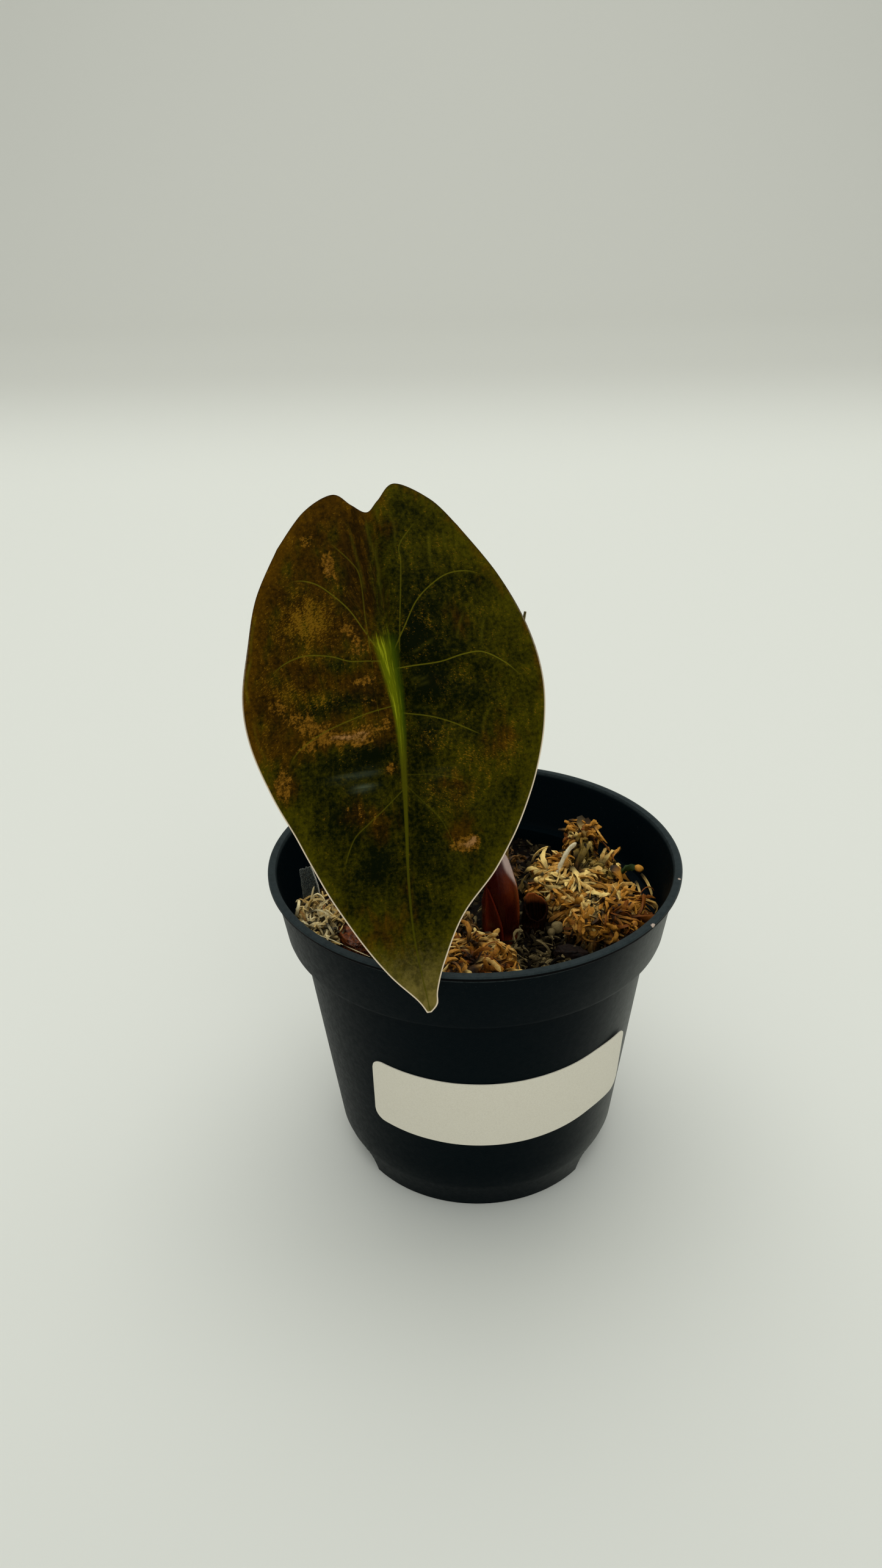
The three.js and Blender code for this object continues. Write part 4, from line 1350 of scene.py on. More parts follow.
def looped(middle: Vector, radius: float, draws: random.Random) -> list[Vector]:
    """The four points that steer a curl of a given radius round a middle."""
    first = scatter(draws, 1.0).normalized()
    second = first.cross(scatter(draws, 1.0)).normalized()
    step = math.radians(draws.uniform(46.0, 82.0))
    rise = first.cross(second) * draws.uniform(-0.5, 0.5)
    points = []
    for index in range(4):
        reach = radius * (1.25 if index in (1, 2) else 1.0)
        way = first * math.cos(index * step) + second * math.sin(index * step) + rise * index
        points.append(middle + way * reach)
    return points


@dataclass(frozen=True)
class Thread:
    """One placed strand of debris."""

    strand: Strand
    points: tuple[Point, Point, Point, Point]
    width: float
    tint: float


@dataclass(frozen=True)
class Pod:
    """A small smooth seed-like lump."""

    spot: Point
    size: Point
    turn: float
    tint: float

    def build(self) -> Body:
        """The lump's mesh."""
        bm = bmesh.new()
        tint, reach = number_layer(bm, "tint"), number_layer(bm, "reach")
        bmesh.ops.create_icosphere(bm, subdivisions=3, radius=1.0)
        turn = Matrix.Rotation(math.radians(self.turn), 3, "Z") @ Matrix.Rotation(0.3, 3, "Y")
        for vert in bm.verts:
            form = vert.co * (1 + 0.12 * noise.noise(vert.co * 1.6 + Vector(self.spot)))
            vert.co = turn @ Vector(p * q for p, q in zip(form, self.size)) + Vector(self.spot)
            vert[tint] = self.tint
            vert[reach] = 1.0
        return bm


@dataclass(frozen=True)
class MossClump:
    """A clump of dried moss: lumpy cores under locks of leafy branches."""

    name: str
    slot: str
    seed: int
    sprigs: int
    cores: Rows
    bundle: int = 4
    locks: int = 60
    lock_size: int = 7
    leafy: float = 0.55
    flat: float = 0.3
    length: float = 1.0
    width: float = 1.0
    curl: float = 0.3
    loops: float = 0.3
    lowest: float = -0.1
    shade: float = 1.5
    threads: tuple[Thread, ...] = ()
    pods: tuple[Pod, ...] = ()
    # Soft spots that shift the tint: lighter on ridges and darker beneath overhangs and in hollows, partly
    # the moss's own colour and partly painted highlight and painted shade.
    tinted: Rows = ()
    aged: Rows = ()

    def _sprigs(self) -> list[Sprig]:
        """The source's sprigs, spread over the cores in a sunflower's order."""
        draws = Draws(self.seed)
        made = []
        for i in range(self.sprigs):
            x, y, z, a, b, c = self.cores[i % len(self.cores)]
            around = (i * 0.618034 + 0.2 * draws.next()) * math.tau
            out = 0.85 * math.sqrt((i + 0.5) / self.sprigs)
            root = (
                x + a * out * math.cos(around),
                y + b * out * math.sin(around),
                z + 0.75 * c * math.sqrt(1 - out * out),
            )
            heading = around + 2.4 * (draws.next() - 0.5)
            length = mix(4.5, 8.0, draws.next())
            rise, swing = length * 0.42 * (0.4 + draws.next()), 1.6 * (draws.next() - 0.5)
            made.append(Sprig(root, heading, length, rise, swing))
        return made

    def _bulk(self) -> Body:
        """The lumpy cores."""
        bm = bmesh.new()
        for k, (x, y, z, a, b, c) in enumerate(self.cores):
            lump = bmesh.new()
            tint, reach = number_layer(lump, "tint"), number_layer(lump, "reach")
            bmesh.ops.create_icosphere(lump, subdivisions=5, radius=1.0)
            for vert in lump.verts:
                p = vert.co.copy()
                bump = 1 + 0.13 * math.sin(5 * p.x + k) * math.cos(4 * p.y + 2 * k)
                bump += 0.08 * math.sin(9 * p.y + 4 * p.z)
                spot = Vector((p.x * a, p.y * b, p.z * c))
                fold = noise.fractal(spot * 0.55 + Vector((k, self.seed, 0.0)), 0.8, 2.1, 4)
                bump = 0.9 * bump + 0.14 * fold + 0.05 * noise.noise(spot * 2.4)
                vert.co = spot * bump + Vector((x, y, z))
                vert[tint] = 0.3 + 0.5 * fold
                # A low reach in the cores' creases is painted as shade by the moss finish.
                vert[reach] = 0.1 + 0.3 * fold
            poured(bm, lump)
        return bm

    @staticmethod
    def _spots(spots: Rows, place: Vector) -> float:
        """The sum of soft spots at a place."""
        return sum(
            amount * math.exp(-(place - Vector(spot)).length_squared / reach**2)
            for *spot, reach, amount in spots
        )

    def _strand(self, tangle: Tangle, points: Sequence[Vector], draws: random.Random, tint: float) -> None:
        """Adds one strand of a drawn kind along a curve."""
        pick = draws.random()
        if pick < self.leafy:
            tangle.add(Strand.LEAFY, points, self.width * draws.uniform(0.35, 0.7), tint, draws)
        elif pick < self.leafy + self.flat:
            tangle.add(Strand.FLAT, points, self.width * draws.uniform(0.25, 0.6), tint, draws)
        else:
            tangle.add(Strand.PLAIN, points, self.width * draws.uniform(0.1, 0.26), tint, draws)

    def _lock(self, tangle: Tangle, draws: random.Random) -> None:
        """Adds a lock: strands that lie side by side along the clump's slope and curl off at their tips."""
        x, y, z, a, b, c = draws.choices(self.cores, weights=[core[3] * core[4] for core in self.cores])[0]
        lean = math.acos(draws.uniform(self.lowest, 1.0))
        around = draws.random() * math.tau
        out = Vector((math.sin(lean) * math.cos(around), math.sin(lean) * math.sin(around), math.cos(lean)))
        heart = Vector((x + a * out.x * 0.94, y + b * out.y * 0.94, z + c * out.z * 0.94))
        drift = noise.noise_vector(heart * 0.16 + Vector((0.0, 0.0, self.seed)))
        flow = drift * 1.6 + Vector((out.x * 0.6, out.y * 0.6, -0.6)) + scatter(draws, 0.35)
        flow = (flow - out * flow.dot(out) * 0.95).normalized()
        length = min(draws.uniform(2.4, 6.0), 0.9 * min(a, b)) * self.length
        lift = draws.uniform(0.15, 0.6)
        swing = draws.gauss(0.0, self.curl)
        own = 0.44 + 0.5 * noise.noise(heart * 0.24) + draws.gauss(0.0, 0.1) + self._spots(self.tinted, heart)
        for _ in range(self.lock_size):
            root = heart + scatter(draws, 0.42)
            if draws.random() < self.loops:
                curl = looped(root + out * 0.3, draws.uniform(0.6, 1.7) * self.length, draws)
                self._strand(tangle, curl, draws, own)
                continue
            way = (flow + scatter(draws, 0.22)).normalized()
            pace = 0.36 * length * draws.uniform(0.45, 1.05)
            bend = swing + draws.gauss(0.0, 0.4 * self.curl)
            points = [root]
            for step, rise in enumerate((lift, 0.0, -1.4 * lift)):
                ahead = way * math.cos(bend * step) + out.cross(way) * math.sin(bend * step)
                points.append(points[-1] + (ahead + out * rise) * pace)
            self._strand(tangle, points, draws, own + draws.gauss(0.0, 0.08))

    def build(self, keep: Keeper) -> Body:
        """The clump's mesh.

        Args:
            keep: Moves places that lie where no moss may.

        Returns:
            The mesh.
        """
        draws = random.Random(self.seed)
        bm = self._bulk()
        for vert, spot in zip(bm.verts, keep(np.array([vert.co for vert in bm.verts])).tolist()):
            vert.co = spot
        tangle = Tangle()
        for index, sprig in enumerate(self._sprigs()):
            own = draws.gauss(0.45, 0.18) + self._spots(self.tinted, Vector(sprig.root))
            core = self.cores[index % len(self.cores)]
            whole = draws.uniform(0.4, 0.85) * self.length * min(1.0, min(core[3:5]) / 5.0)
            for _ in range(self.bundle):
                stray = scatter(draws, 0.4)
                sway = scatter(draws, 0.8)
                reach = draws.uniform(0.75, 1.0) * whole
                points = [
                    sprig.at(share * reach) + stray * mix(0.7, 1.3, share)
                    for share in (0.0, 0.35, 0.7, 1.0)
                ]
                points[2] += sway
                points[3] += sway * 0.4 + Vector((0.0, 0.0, draws.uniform(-2.4, -0.2)))
                self._strand(tangle, points, draws, own + draws.gauss(0.0, 0.12))
        for _ in range(self.locks):
            self._lock(tangle, draws)
        for thread in self.threads:
            points = [Vector(point) for point in thread.points]
            tangle.add(thread.strand, points, thread.width, thread.tint, draws)
        for pod in self.pods:
            poured(bm, pod.build())
        tangle.pour(bm, keep)
        # Rise: how high a vertex lies in the clump, which the finish paints as shade low down.
        base = min(core[2] for core in self.cores) - self.shade
        crown = min(core[2] + core[5] for core in self.cores)
        rise, khaki = number_layer(bm, "rise"), number_layer(bm, "khaki")
        for vert in bm.verts:
            vert[rise] = min(max((vert.co.z - base) / (crown - base), 0.0), 1.0)
            vert[khaki] = self._spots(self.aged, vert.co)
        return bm


@dataclass(frozen=True)
class BarkChip:
    """A rough chip of bark, layered along its length."""

    name: str
    slot: str
    seed: int
    spot: Point
    size: Point
    turn: Point

    def build(self) -> Body:
        """The chip's mesh."""
        bm = bmesh.new()
        bmesh.ops.create_cube(bm, size=2.0)
        bmesh.ops.subdivide_edges(bm, edges=bm.edges[:], cuts=26, use_grid_fill=True)
        turn = turned(self.turn)
        drift = Vector((self.seed * 3.7, 0.0, 0.0))
        for vert in bm.verts:
            p = vert.co.copy()
            ball = p.normalized()
            form = ball / max(abs(ball.x), abs(ball.y), abs(ball.z)) ** 0.62
            rough = 0.9 + 0.16 * noise.fractal(ball * 1.3 + drift, 0.7, 2.0, 3)
            layers = 0.05 * noise.noise(Vector((form.x * 1.5, form.y * 9.0, form.z * 14.0)) + drift)
            fine = Vector((form.x * 4.0, form.y * 8.0, form.z * 12.0)) + drift
            split = 0.04 * noise.fractal(fine, 0.6, 2.0, 3)
            form = form * (rough + layers + split)
            scaled = Vector(p * q / 2 for p, q in zip(form, self.size))
            vert.co = turn @ scaled + Vector(self.spot)
        return bm

    def clear(self, places: np.ndarray) -> np.ndarray:
        """Moves places out of the chip."""
        turn = turned(self.turn)
        away = places - np.array(self.spot)
        own = (away @ np.array(turn)) / (np.array(self.size) * 0.53)
        inside = np.maximum(np.linalg.norm(own, axis=1), 1e-6)
        return np.array(self.spot) + away * np.where(inside < 1, 1 / inside, 1.0)[:, None]


@dataclass(frozen=True)
class RootBit:
    """A pale bent bit of root that stands out of the moss."""

    path: tuple[Point, ...] = ((15.6, 5.7, 53.0), (16.8, 6.6, 56.0), (18.1, 7.6, 58.2), (19.6, 7.9, 59.7))
    radius: float = 0.42

    def build(self) -> Body:
        """The root's mesh."""

        def reach(turn: float, share: float) -> float:
            """The section's radius."""
            end = math.sqrt(max(1 - (abs(2 * share - 1)) ** 10, 0.02))
            ring = Vector((math.cos(turn), math.sin(turn), share * 7))
            knots = 1 + 0.07 * math.sin(23 * share) + 0.06 * noise.noise(ring)
            return self.radius * end * knots

        return swept(Spline(self.path), 20, 40, reach)


@dataclass(frozen=True)
class DryStrip:
    """A papery strip of old sheath that stands against the wall."""

    foot: Point = (-31.0, -1.4, 50.2)
    height: float = 9.5
    width: float = 3.4
    thickness: float = 0.16
    bow: float = 1.2
    curl: float = 0.09
    turn: Point = (-8.0, 0.0, 30.0)

    def build(self) -> Body:
        """The strip's mesh."""
        turn = turned(self.turn)

        def place(s: float, t: float) -> Vector:
            """The surface point at unit coordinates, from the foot up."""
            down = 1 - t
            taper = 0.45 + 0.55 * math.sin(math.pi * (0.12 + 0.7 * down))
            torn = 1 + 0.1 * noise.noise(Vector((s * 2, t * 9, 1.0)))
            across = (s - 0.5) * self.width * taper * torn
            wave = noise.noise(Vector((across * 0.8, t * 3, 5.0)))
            fold = 0.22 * math.sin(5.0 * across + 2.0 * t) + 0.3 * wave
            depth = self.bow * math.sin(math.pi * t) + self.curl * across * across + 0.3 + fold * 0.5
            ragged = 0.5 * noise.noise(Vector((s * 6.0, 0.0, 2.0))) * t
            return turn @ Vector((across, -depth, t * self.height + ragged)) + Vector(self.foot)

        bm = sheet(16, 44, place)
        # The edge number: whiter towards the sides and most on one side, partly painted highlight.
        paint(
            bm, "edge", lambda s, t: max(abs(2 * s - 1) ** 4 * (0.4 + 0.6 * s), 0.5 * abs(2 * t - 1) ** 16)
        )
        return thickened(bm, self.thickness)


# The shoot


def paint(bm: Body, name: str, value: Callable[[float, float], float]) -> None:
    """Keeps a number on each vertex, worked out from its unit coordinates.

    Args:
        bm: The mesh, made from a unit grid.
        name: The number's name.
        value: Gives the number from the unit coordinates.
    """
    layer = number_layer(bm, name)
    where = bm.loops.layers.uv["surface"]
    for face in bm.faces:
        if len(face.verts) > 4:
            continue
        for loop in face.loops:
            loop.vert[layer] = value(loop[where].uv.x, loop[where].uv.y)


@dataclass(frozen=True)
class Stalk:
    """The leaf stalk, whose foot is wrapped by a swollen sheath."""

    path: tuple[Point, ...] = (
        (5.0, -6.2, 46.4), (5.2, -5.8, 52.0), (4.9, -5.2, 58.0), (3.8, -4.3, 64.5), (2.6, -2.0, 71.5),
        (1.2, 0.2, 79.0), (-2.6, 1.6, 94.0), (-7.6, -3.2, 104.6), (-11.6, -10.6, 109.4),
        (-13.2, -15.4, 110.6),
    )
    heights: tuple[float, ...] = (
        46.4, 49.0, 52.0, 55.0, 58.0, 61.5, 64.5, 67.0, 71.5, 79.0, 94.0, 104.6, 110.6
    )
    radii: tuple[float, ...] = (2.9, 3.05, 3.2, 3.15, 3.0, 2.5, 1.98, 1.82, 1.74, 1.66, 1.5, 1.4, 1.15)

    def centre(self, height: np.ndarray) -> tuple[np.ndarray, np.ndarray]:
        """The centre line's places at many heights."""
        table = np.array(self.path)
        return np.interp(height, table[:, 2], table[:, 0]), np.interp(height, table[:, 2], table[:, 1])

    def clear(self, places: np.ndarray) -> np.ndarray:
        """Moves places out of the foot of the shoot."""
        kept = places.copy()
        x, y = self.centre(kept[:, 2])
        away = np.stack([kept[:, 0] - x, kept[:, 1] - y], axis=1)
        reach = np.maximum(np.linalg.norm(away, axis=1), 1e-6)
        radius = np.interp(kept[:, 2], self.heights, self.radii) + 0.25
        push = np.where(reach < radius, radius / reach, 1.0)
        kept[:, 0] = x + away[:, 0] * push
        kept[:, 1] = y + away[:, 1] * push
        return kept

    def build(self) -> Body:
        """The stalk's mesh."""
        path = Spline(self.path)

        def overlap(turn: float, height: float) -> float:
            """How much the sheath's free edge stands out."""
            edge = math.radians(25 + 3.2 * (height - 52)) % math.tau
            past = (turn - edge) % math.tau
            return 0.26 * smooth((65.5 - height) / 4) * smooth(past / 0.12) * smooth((math.tau - past) / 4.6)

        def reach(turn: float, share: float) -> float:
            """The section's radius."""
            height = path.at(share).z
            radius = float(np.interp(height, self.heights, self.radii))
            ribs = 0.012 * math.sin(17 * turn) + 0.01 * math.sin(29 * turn + 1)
            return radius * (1 + ribs) + overlap(turn, height) - 0.1 * smooth((66 - height) / 6)

        bm = swept(path, 72, 260, reach)
        glow, film = number_layer(bm, "glow"), number_layer(bm, "film")
        for vert in bm.verts:
            x, y = self.centre(np.array([vert.co.z]))
            bearing = math.degrees(math.atan2(vert.co.y - y[0], vert.co.x - x[0]))
            vert[glow] = self._glow(bearing, vert.co.z)
            vert[film] = self._film(bearing, vert.co.z)
        return bm

    @staticmethod
    def _glow(bearing: float, height: float) -> float:
        """Where light shines through the sheath, from the bearing in degrees and the height."""
        right = math.exp(-(((bearing + 8) / 20) ** 2)) * smooth((height - 50) / 4)
        right *= smooth((62 - height) / 3)
        front = math.exp(-(((bearing + 56) / 26) ** 2)) * smooth((height - 55) / 4)
        front *= smooth((64 - height) / 3)
        foot = smooth((50.4 - height) / 1.6) * math.exp(-(((bearing + 50) / 40) ** 2))
        return max(0.85 * right, 0.4 * front, 0.45 * foot)

    @staticmethod
    def _film(bearing: float, height: float) -> float:
        """Where the sheath's pale membrane lies, from the bearing in degrees and the height. Its pinkish
        white at the sheath's top right is also painted highlight.
        """
        spread = mix(4.0, 38.0, smooth((height - 57.0) / 6.5))
        middle = mix(-4.0, -30.0, smooth((height - 55.0) / 9.0))
        body = smooth((spread - abs(bearing - middle)) / 20.0)
        return 0.9 * body * smooth((height - 55.0) / 4.5) * smooth((66.4 - height) / 1.6)


@dataclass(frozen=True)
class NewLeaf:
    """The next leaf, still rolled up."""

    path: tuple[Point, ...] = (
        (5.0, -5.0, 51.0), (4.9, -4.2, 62.0), (5.4, -2.6, 80.0), (6.8, -1.2, 97.0), (8.9, -0.4, 109.0)
    )
    radii: tuple[float, ...] = (1.2, 1.28, 1.35, 1.44, 1.5, 1.36, 1.1, 0.7, 0.22)

    def build(self) -> Body:
        """The rolled leaf's mesh."""

        def reach(turn: float, share: float) -> float:
            """The section's radius, with the roll's free edge."""
            radius = along(self.radii, share)
            past = (turn - 1.0 - 2.6 * share) % math.tau
            return radius * (0.86 + 0.14 * past / math.tau) + 0.01 * math.sin(21 * turn)

        bm = swept(Spline(self.path), 64, 160, reach)
        paint(bm, "glow", lambda around, share: 0.5 * smooth(math.cos(around * math.tau) * 2))
        paint(bm, "film", lambda around, share: 0.0)
        return bm


@dataclass(frozen=True)
class ScaleLeaf:
    """A small pointed leaf that half wraps the sheath's foot."""

    stalk: Stalk
    bottom: float = 46.6
    height: float = 12.8
    middle: float = -50.0
    half: float = 54.0
    thickness: float = 0.35

    def build(self) -> Body:
        """The scale leaf's mesh."""

        def place(s: float, t: float) -> Vector:
            """The outer surface point at unit coordinates, from the foot up."""
            up = t * self.height
            level = self.bottom + up
            x, y = self.stalk.centre(np.array([level]))
            keel = 0.22 * math.exp(-(((s - 0.5) / 0.07) ** 2)) * (1 - t)
            radius = float(np.interp(level, self.stalk.heights, self.stalk.radii)) + 0.75 + keel
            radius += 0.04 * noise.noise(Vector((s * 5, t * 4, 2.0))) - 0.35 * t * t
            half = math.radians(self.half) * max(1 - t**2.6, 0.02)
            turn = math.radians(self.middle) + (2 * s - 1) * half
            return Vector((x[0] + radius * math.sin(turn), y[0] - radius * math.cos(turn), level))

        def glow(s: float, t: float) -> float:
            """Where light shows through: along the keel and at both edges."""
            keel = 0.5 * math.exp(-(((s - 0.5) / 0.12) ** 2))
            return max(keel, 0.6 * smooth(abs(2 * s - 1) * 6 - 5.0))

        bm = sheet(48, 60, place)
        paint(bm, "glow", glow)
        paint(bm, "film", lambda s, t: 0.0)
        return thickened(bm, self.thickness)


@dataclass(frozen=True)
class OldBase:
    """The torn hollow base of an older leaf."""

    path: tuple[Point, ...] = ((9.4, -4.4, 45.6), (10.8, -3.8, 49.2), (11.4, -3.2, 52.4))
    outer: float = 2.3
    wall: float = 0.42
    tear: float = 0.95
    columns: int = 64
    rows: int = 60

    def build(self) -> Body:
        """The base's mesh, open at its mouth."""
        path = Spline(self.path)
        frames = path.frames(self.rows)
        mouth = Vector(self.path[-1])

        def place(around: float, share: float) -> Vector:
            """The outer surface point at unit coordinates."""
            centre, side, up = frames[round(share * self.rows)]
            turn = around * math.tau
            ring = Vector((math.cos(turn), math.sin(turn), share * 3))
            waves = 1 + 0.05 * math.sin(3 * turn + 1) + 0.03 * noise.noise(ring)
            spot = centre + (side * math.cos(turn) + up * math.sin(turn)) * (self.outer * waves)
            torn = smooth((spot.z - 49.2) / 3.2)
            spot.z += self.tear * (spot.y - mouth.y) * torn
            spot.z += 0.35 * noise.noise(Vector((math.cos(turn) * 2.2, math.sin(turn) * 2.2, 8.0))) * torn
            return spot

        bm = rolled(self.columns, self.rows, place)
        glow = number_layer(bm, "glow")
        for vert in bm.verts:
            high = smooth((vert.co.z - mouth.z + 0.3) / 1.4)
            vert[glow] = 0.8 * high * smooth((vert.co.y - mouth.y - 0.4) / 1.6)
        paint(bm, "film", lambda s, t: 0.0)
        thickened(bm, self.wall)
        bmesh.ops.recalc_face_normals(bm, faces=bm.faces)
        return bm


# The leaf blade


LEAF_LEFT = (
    (-14.2, -15.6), (-18.6, -8.7), (-21.2, -1.2), (-23.3, 6.4), (-23.3, 13.4), (-21.3, 21.3),
    (-18.1, 29.5), (-15.1, 37.6), (-11.2, 46.0), (-7.4, 52.4), (-3.7, 57.0), (-2.5, 59.2),
)
LEAF_RIGHT = (
    (13.8, -15.1), (18.8, -6.9), (22.2, 1.5), (23.5, 9.4), (22.7, 16.8), (20.3, 24.2), (16.7, 31.3),
    (11.9, 38.1), (5.6, 44.6), (1.6, 51.4), (-0.2, 55.8), (-0.6, 58.0), (-1.8, 59.2),
)
LEAF_TOP = (
    (-14.2, -15.6), (-9.4, -20.5), (-4.6, -22.5), (-1.9, -20.6), (0.3, -19.2), (2.2, -20.6), (5.2, -22.8),
    (10.3, -19.6), (13.8, -15.1),
)
MIDRIB = ((-0.3, -19.0), (0.0, 0.0), (0.5, 12.0), (-0.6, 25.0), (-2.2, 39.0), (-2.6, 47.3), (-2.0, 58.6))
# The main veins of each half: how strongly each shows, then its points.
RIGHT_VEINS = (
    (0.5, ((2.7, -1.4), (4.3, -10.8), (4.4, -13.1), (7.7, -16.8))),
    (0.75, ((3.2, -0.6), (5.8, -4.5), (8.4, -6.6), (11.2, -7.9), (14.2, -7.9), (16.6, -6.9))),
    (0.9, ((3.6, 5.3), (8.1, 5.3), (11.6, 4.7), (14.5, 4.7), (17.8, 6.8), (20.3, 9.5))),
    (0.65, ((2.2, 12.5), (5.3, 13.4), (8.4, 14.8), (12.8, 17.5))),
    (0.2, ((1.0, 21.8), (3.9, 22.2), (8.6, 23.9), (9.9, 25.5))),
    (0.22, ((0.6, 24.3), (4.4, 29.5), (6.3, 35.7))),
)
LEFT_VEINS = (
    (0.4, ((-2.4, -2.4), (-2.4, -10.2), (-3.4, -12.0), (-6.4, -15.7))),
    (0.75, ((-3.1, -1.6), (-4.6, -4.5), (-7.0, -7.4), (-9.0, -9.2), (-11.1, -10.1), (-13.1, -10.3))),
    (0.65, ((-2.9, 3.6), (-5.8, 3.2), (-8.3, 2.1), (-10.7, 1.5), (-12.9, 1.3), (-16.0, 2.1), (-18.6, 3.8))),
    (
        0.6,
        (
            (-1.2, 11.0), (-4.5, 11.5), (-7.9, 12.3), (-11.3, 13.3), (-14.5, 14.8), (-16.6, 16.4),
            (-17.8, 18.2)
        ),
    ),
    (0.42, ((-1.4, 24.4), (-4.2, 26.5), (-6.8, 28.3), (-9.1, 30.0), (-10.3, 31.8), (-11.9, 35.2))),
)
# Fine lines that are only coloured: how strongly each shows, then its points.
FINE_LINES = (
    (0.2, ((1.9, -19.7), (1.8, -18.1), (2.5, -16.2))),
    (0.2, ((3.5, -18.6), (4.1, -16.8), (4.0, -14.5), (3.8, -12.7))), (0.16, ((5.8, -18.9), (5.9, -16.8))),
    (0.3, ((9.3, -15.2), (8.9, -12.0), (8.8, -8.8))), (0.22, ((11.4, -14.5), (11.4, -11.6))),
    (0.16, ((13.2, -12.7), (13.1, -11.4))), (0.26, ((12.7, -1.6), (11.7, 0.1), (11.1, 2.3))),
    (0.22, ((15.9, -0.9), (15.1, 1.2), (14.6, 3.7))), (0.2, ((3.5, 3.6), (5.4, 2.7), (7.8, 1.6))),
    (0.18, ((2.5, 7.1), (5.9, 7.6))), (0.14, ((2.6, 8.2), (6.1, 8.3))),
    (0.14, ((2.1, 11.4), (5.5, 12.0), (8.4, 11.8))), (0.24, ((-2.8, -17.6), (-2.2, -11.5), (-1.7, -6.3))),
    (0.3, ((0.1, -19.2), (0.0, -15.7), (0.7, -11.7), (0.4, -6.1))),
    (0.2, ((1.1, -16.0), (0.7, -9.8), (0.5, -3.5))), (0.45, ((-20.6, -0.2), (-22.3, 4.2), (-22.4, 8.0))),
    (0.3, ((-18.9, -6.6), (-20.2, -3.0), (-21.0, 0.6))),
    (0.2, ((0.2, 24.6), (1.7, 26.1), (3.9, 28.4), (6.3, 31.6))), (0.14, ((6.3, 35.5), (6.5, 37.5))),
    (0.2, ((-22.0, 9.0), (-22.0, 13.0), (-20.8, 17.0))),
    (0.2, ((12.8, 17.5), (13.3, 15.0), (15.0, 13.0))),
)
# Spots on the blade: across, down, their reach both ways and their strength.
PATCHES = (
    (-6.7, -12.6, 1.3, 1.5, 0.6), (-6.8, -10.4, 1.0, 1.5, 0.6), (-9.2, -16.0, 1.6, 1.6, 0.36),
    (-5.3, -1.8, 1.5, 1.0, 0.56), (-4.1, 0.1, 1.0, 1.0, 0.56), (-4.1, 1.9, 1.6, 0.8, 0.46),
    (-8.1, 0.3, 2.4, 1.0, 0.26), (-4.0, 6.5, 2.0, 0.75, 0.66), (-4.1, 9.7, 1.7, 0.8, 0.36),
    (-17.7, 8.5, 1.8, 1.6, 0.44), (-14.9, 10.8, 2.6, 1.3, 0.46), (-12.6, 12.6, 2.4, 1.2, 0.56),
    (-7.8, 14.5, 2.8, 1.0, 0.54), (-4.6, 14.2, 2.2, 1.3, 0.56), (-1.6, 13.3, 0.9, 1.3, 0.44),
    (-6.4, 15.7, 2.2, 0.7, 0.5), (-14.4, 15.4, 2.6, 1.2, 0.44), (-10.3, 14.4, 2.6, 1.0, 0.46),
    (-2.1, 20.4, 0.9, 0.9, 0.56), (-19.1, 19.5, 1.9, 1.8, 0.52), (-19.2, 21.9, 1.1, 1.8, 0.44),
    (-8.6, 25.1, 2.0, 1.8, 0.24), (-6.1, 27.4, 2.0, 1.1, 0.26), (-5.2, 30.5, 0.9, 1.2, 0.36),
    (7.9, 33.8, 1.9, 1.3, 0.8), (9.0, 32.9, 0.7, 0.9, 0.5), (5.8, 33.9, 1.2, 0.9, 0.3),
    (4.4, 17.0, 0.8, 0.6, 0.3), (-12.2, -4.6, 3.0, 3.0, 0.16),
)
CROWDS = (
    (-13.0, -6.8, 3.0, 3.0, 0.16), (-10.1, -4.6, 3.6, 3.0, 0.2), (-13.1, -2.4, 3.4, 3.0, 0.16),
    (-8.2, -2.0, 3.4, 3.0, 0.14), (-16.1, 6.5, 5.0, 3.4, 0.14), (-9.0, 8.1, 5.0, 2.4, 0.1),
    (-9.0, 14.0, 9.0, 3.0, 0.1), (10.9, 20.4, 3.6, 2.6, 0.22), (7.4, 25.4, 4.0, 3.0, 0.18),
    (15.2, 19.6, 4.0, 5.0, 0.12), (4.4, 17.2, 2.6, 1.8, 0.2), (3.0, 24.0, 2.4, 3.0, 0.12),
    (-3.0, -10.0, 4.0, 6.0, 0.06), (-17.0, 0.0, 4.0, 5.0, 0.06), (6.0, 31.0, 4.0, 3.0, 0.06),
    (-8.0, 26.0, 5.0, 4.0, 0.06), (-20.0, 14.0, 2.5, 8.0, 0.06),
)
BRONZED = (
    (7.2, 24.7, 5.0, 4.5, 0.4), (16.8, 16.4, 3.2, 5.0, 0.3), (-6.5, 46.0, 5.0, 6.0, 0.36),
    (7.0, 32.6, 4.0, 3.6, 0.45), (13.8, -6.5, 3.0, 3.0, 0.24), (11.1, -1.5, 3.0, 3.4, 0.3),
    (7.4, 8.0, 2.4, 1.8, 0.24), (12.6, 0.9, 2.4, 2.4, 0.2), (16.5, 9.0, 2.4, 3.0, 0.2),
    (-6.0, 27.6, 4.0, 2.4, 0.4), (-5.2, 30.5, 1.6, 2.0, 0.4), (-8.6, 25.0, 2.6, 2.4, 0.2),
    (2.0, -16.0, 3.4, 4.0, 0.4), (4.4, 17.0, 2.4, 1.6, 0.3), (-8.2, 9.6, 5.0, 1.8, -0.24),
    (-7.4, 3.4, 3.4, 1.4, -0.2), (15.2, 21.0, 4.0, 5.0, 0.3), (-19.0, 20.5, 3.4, 4.0, 0.4),
    (-2.1, 20.4, 1.4, 1.4, 0.4), (-5.0, -8.0, 2.0, 4.0, -0.1), (-12.0, 33.0, 2.6, 6.0, 0.14),
    (-1.8, 37.0, 1.2, 5.0, 0.3), (3.0, 46.0, 2.0, 4.0, 0.1),
)
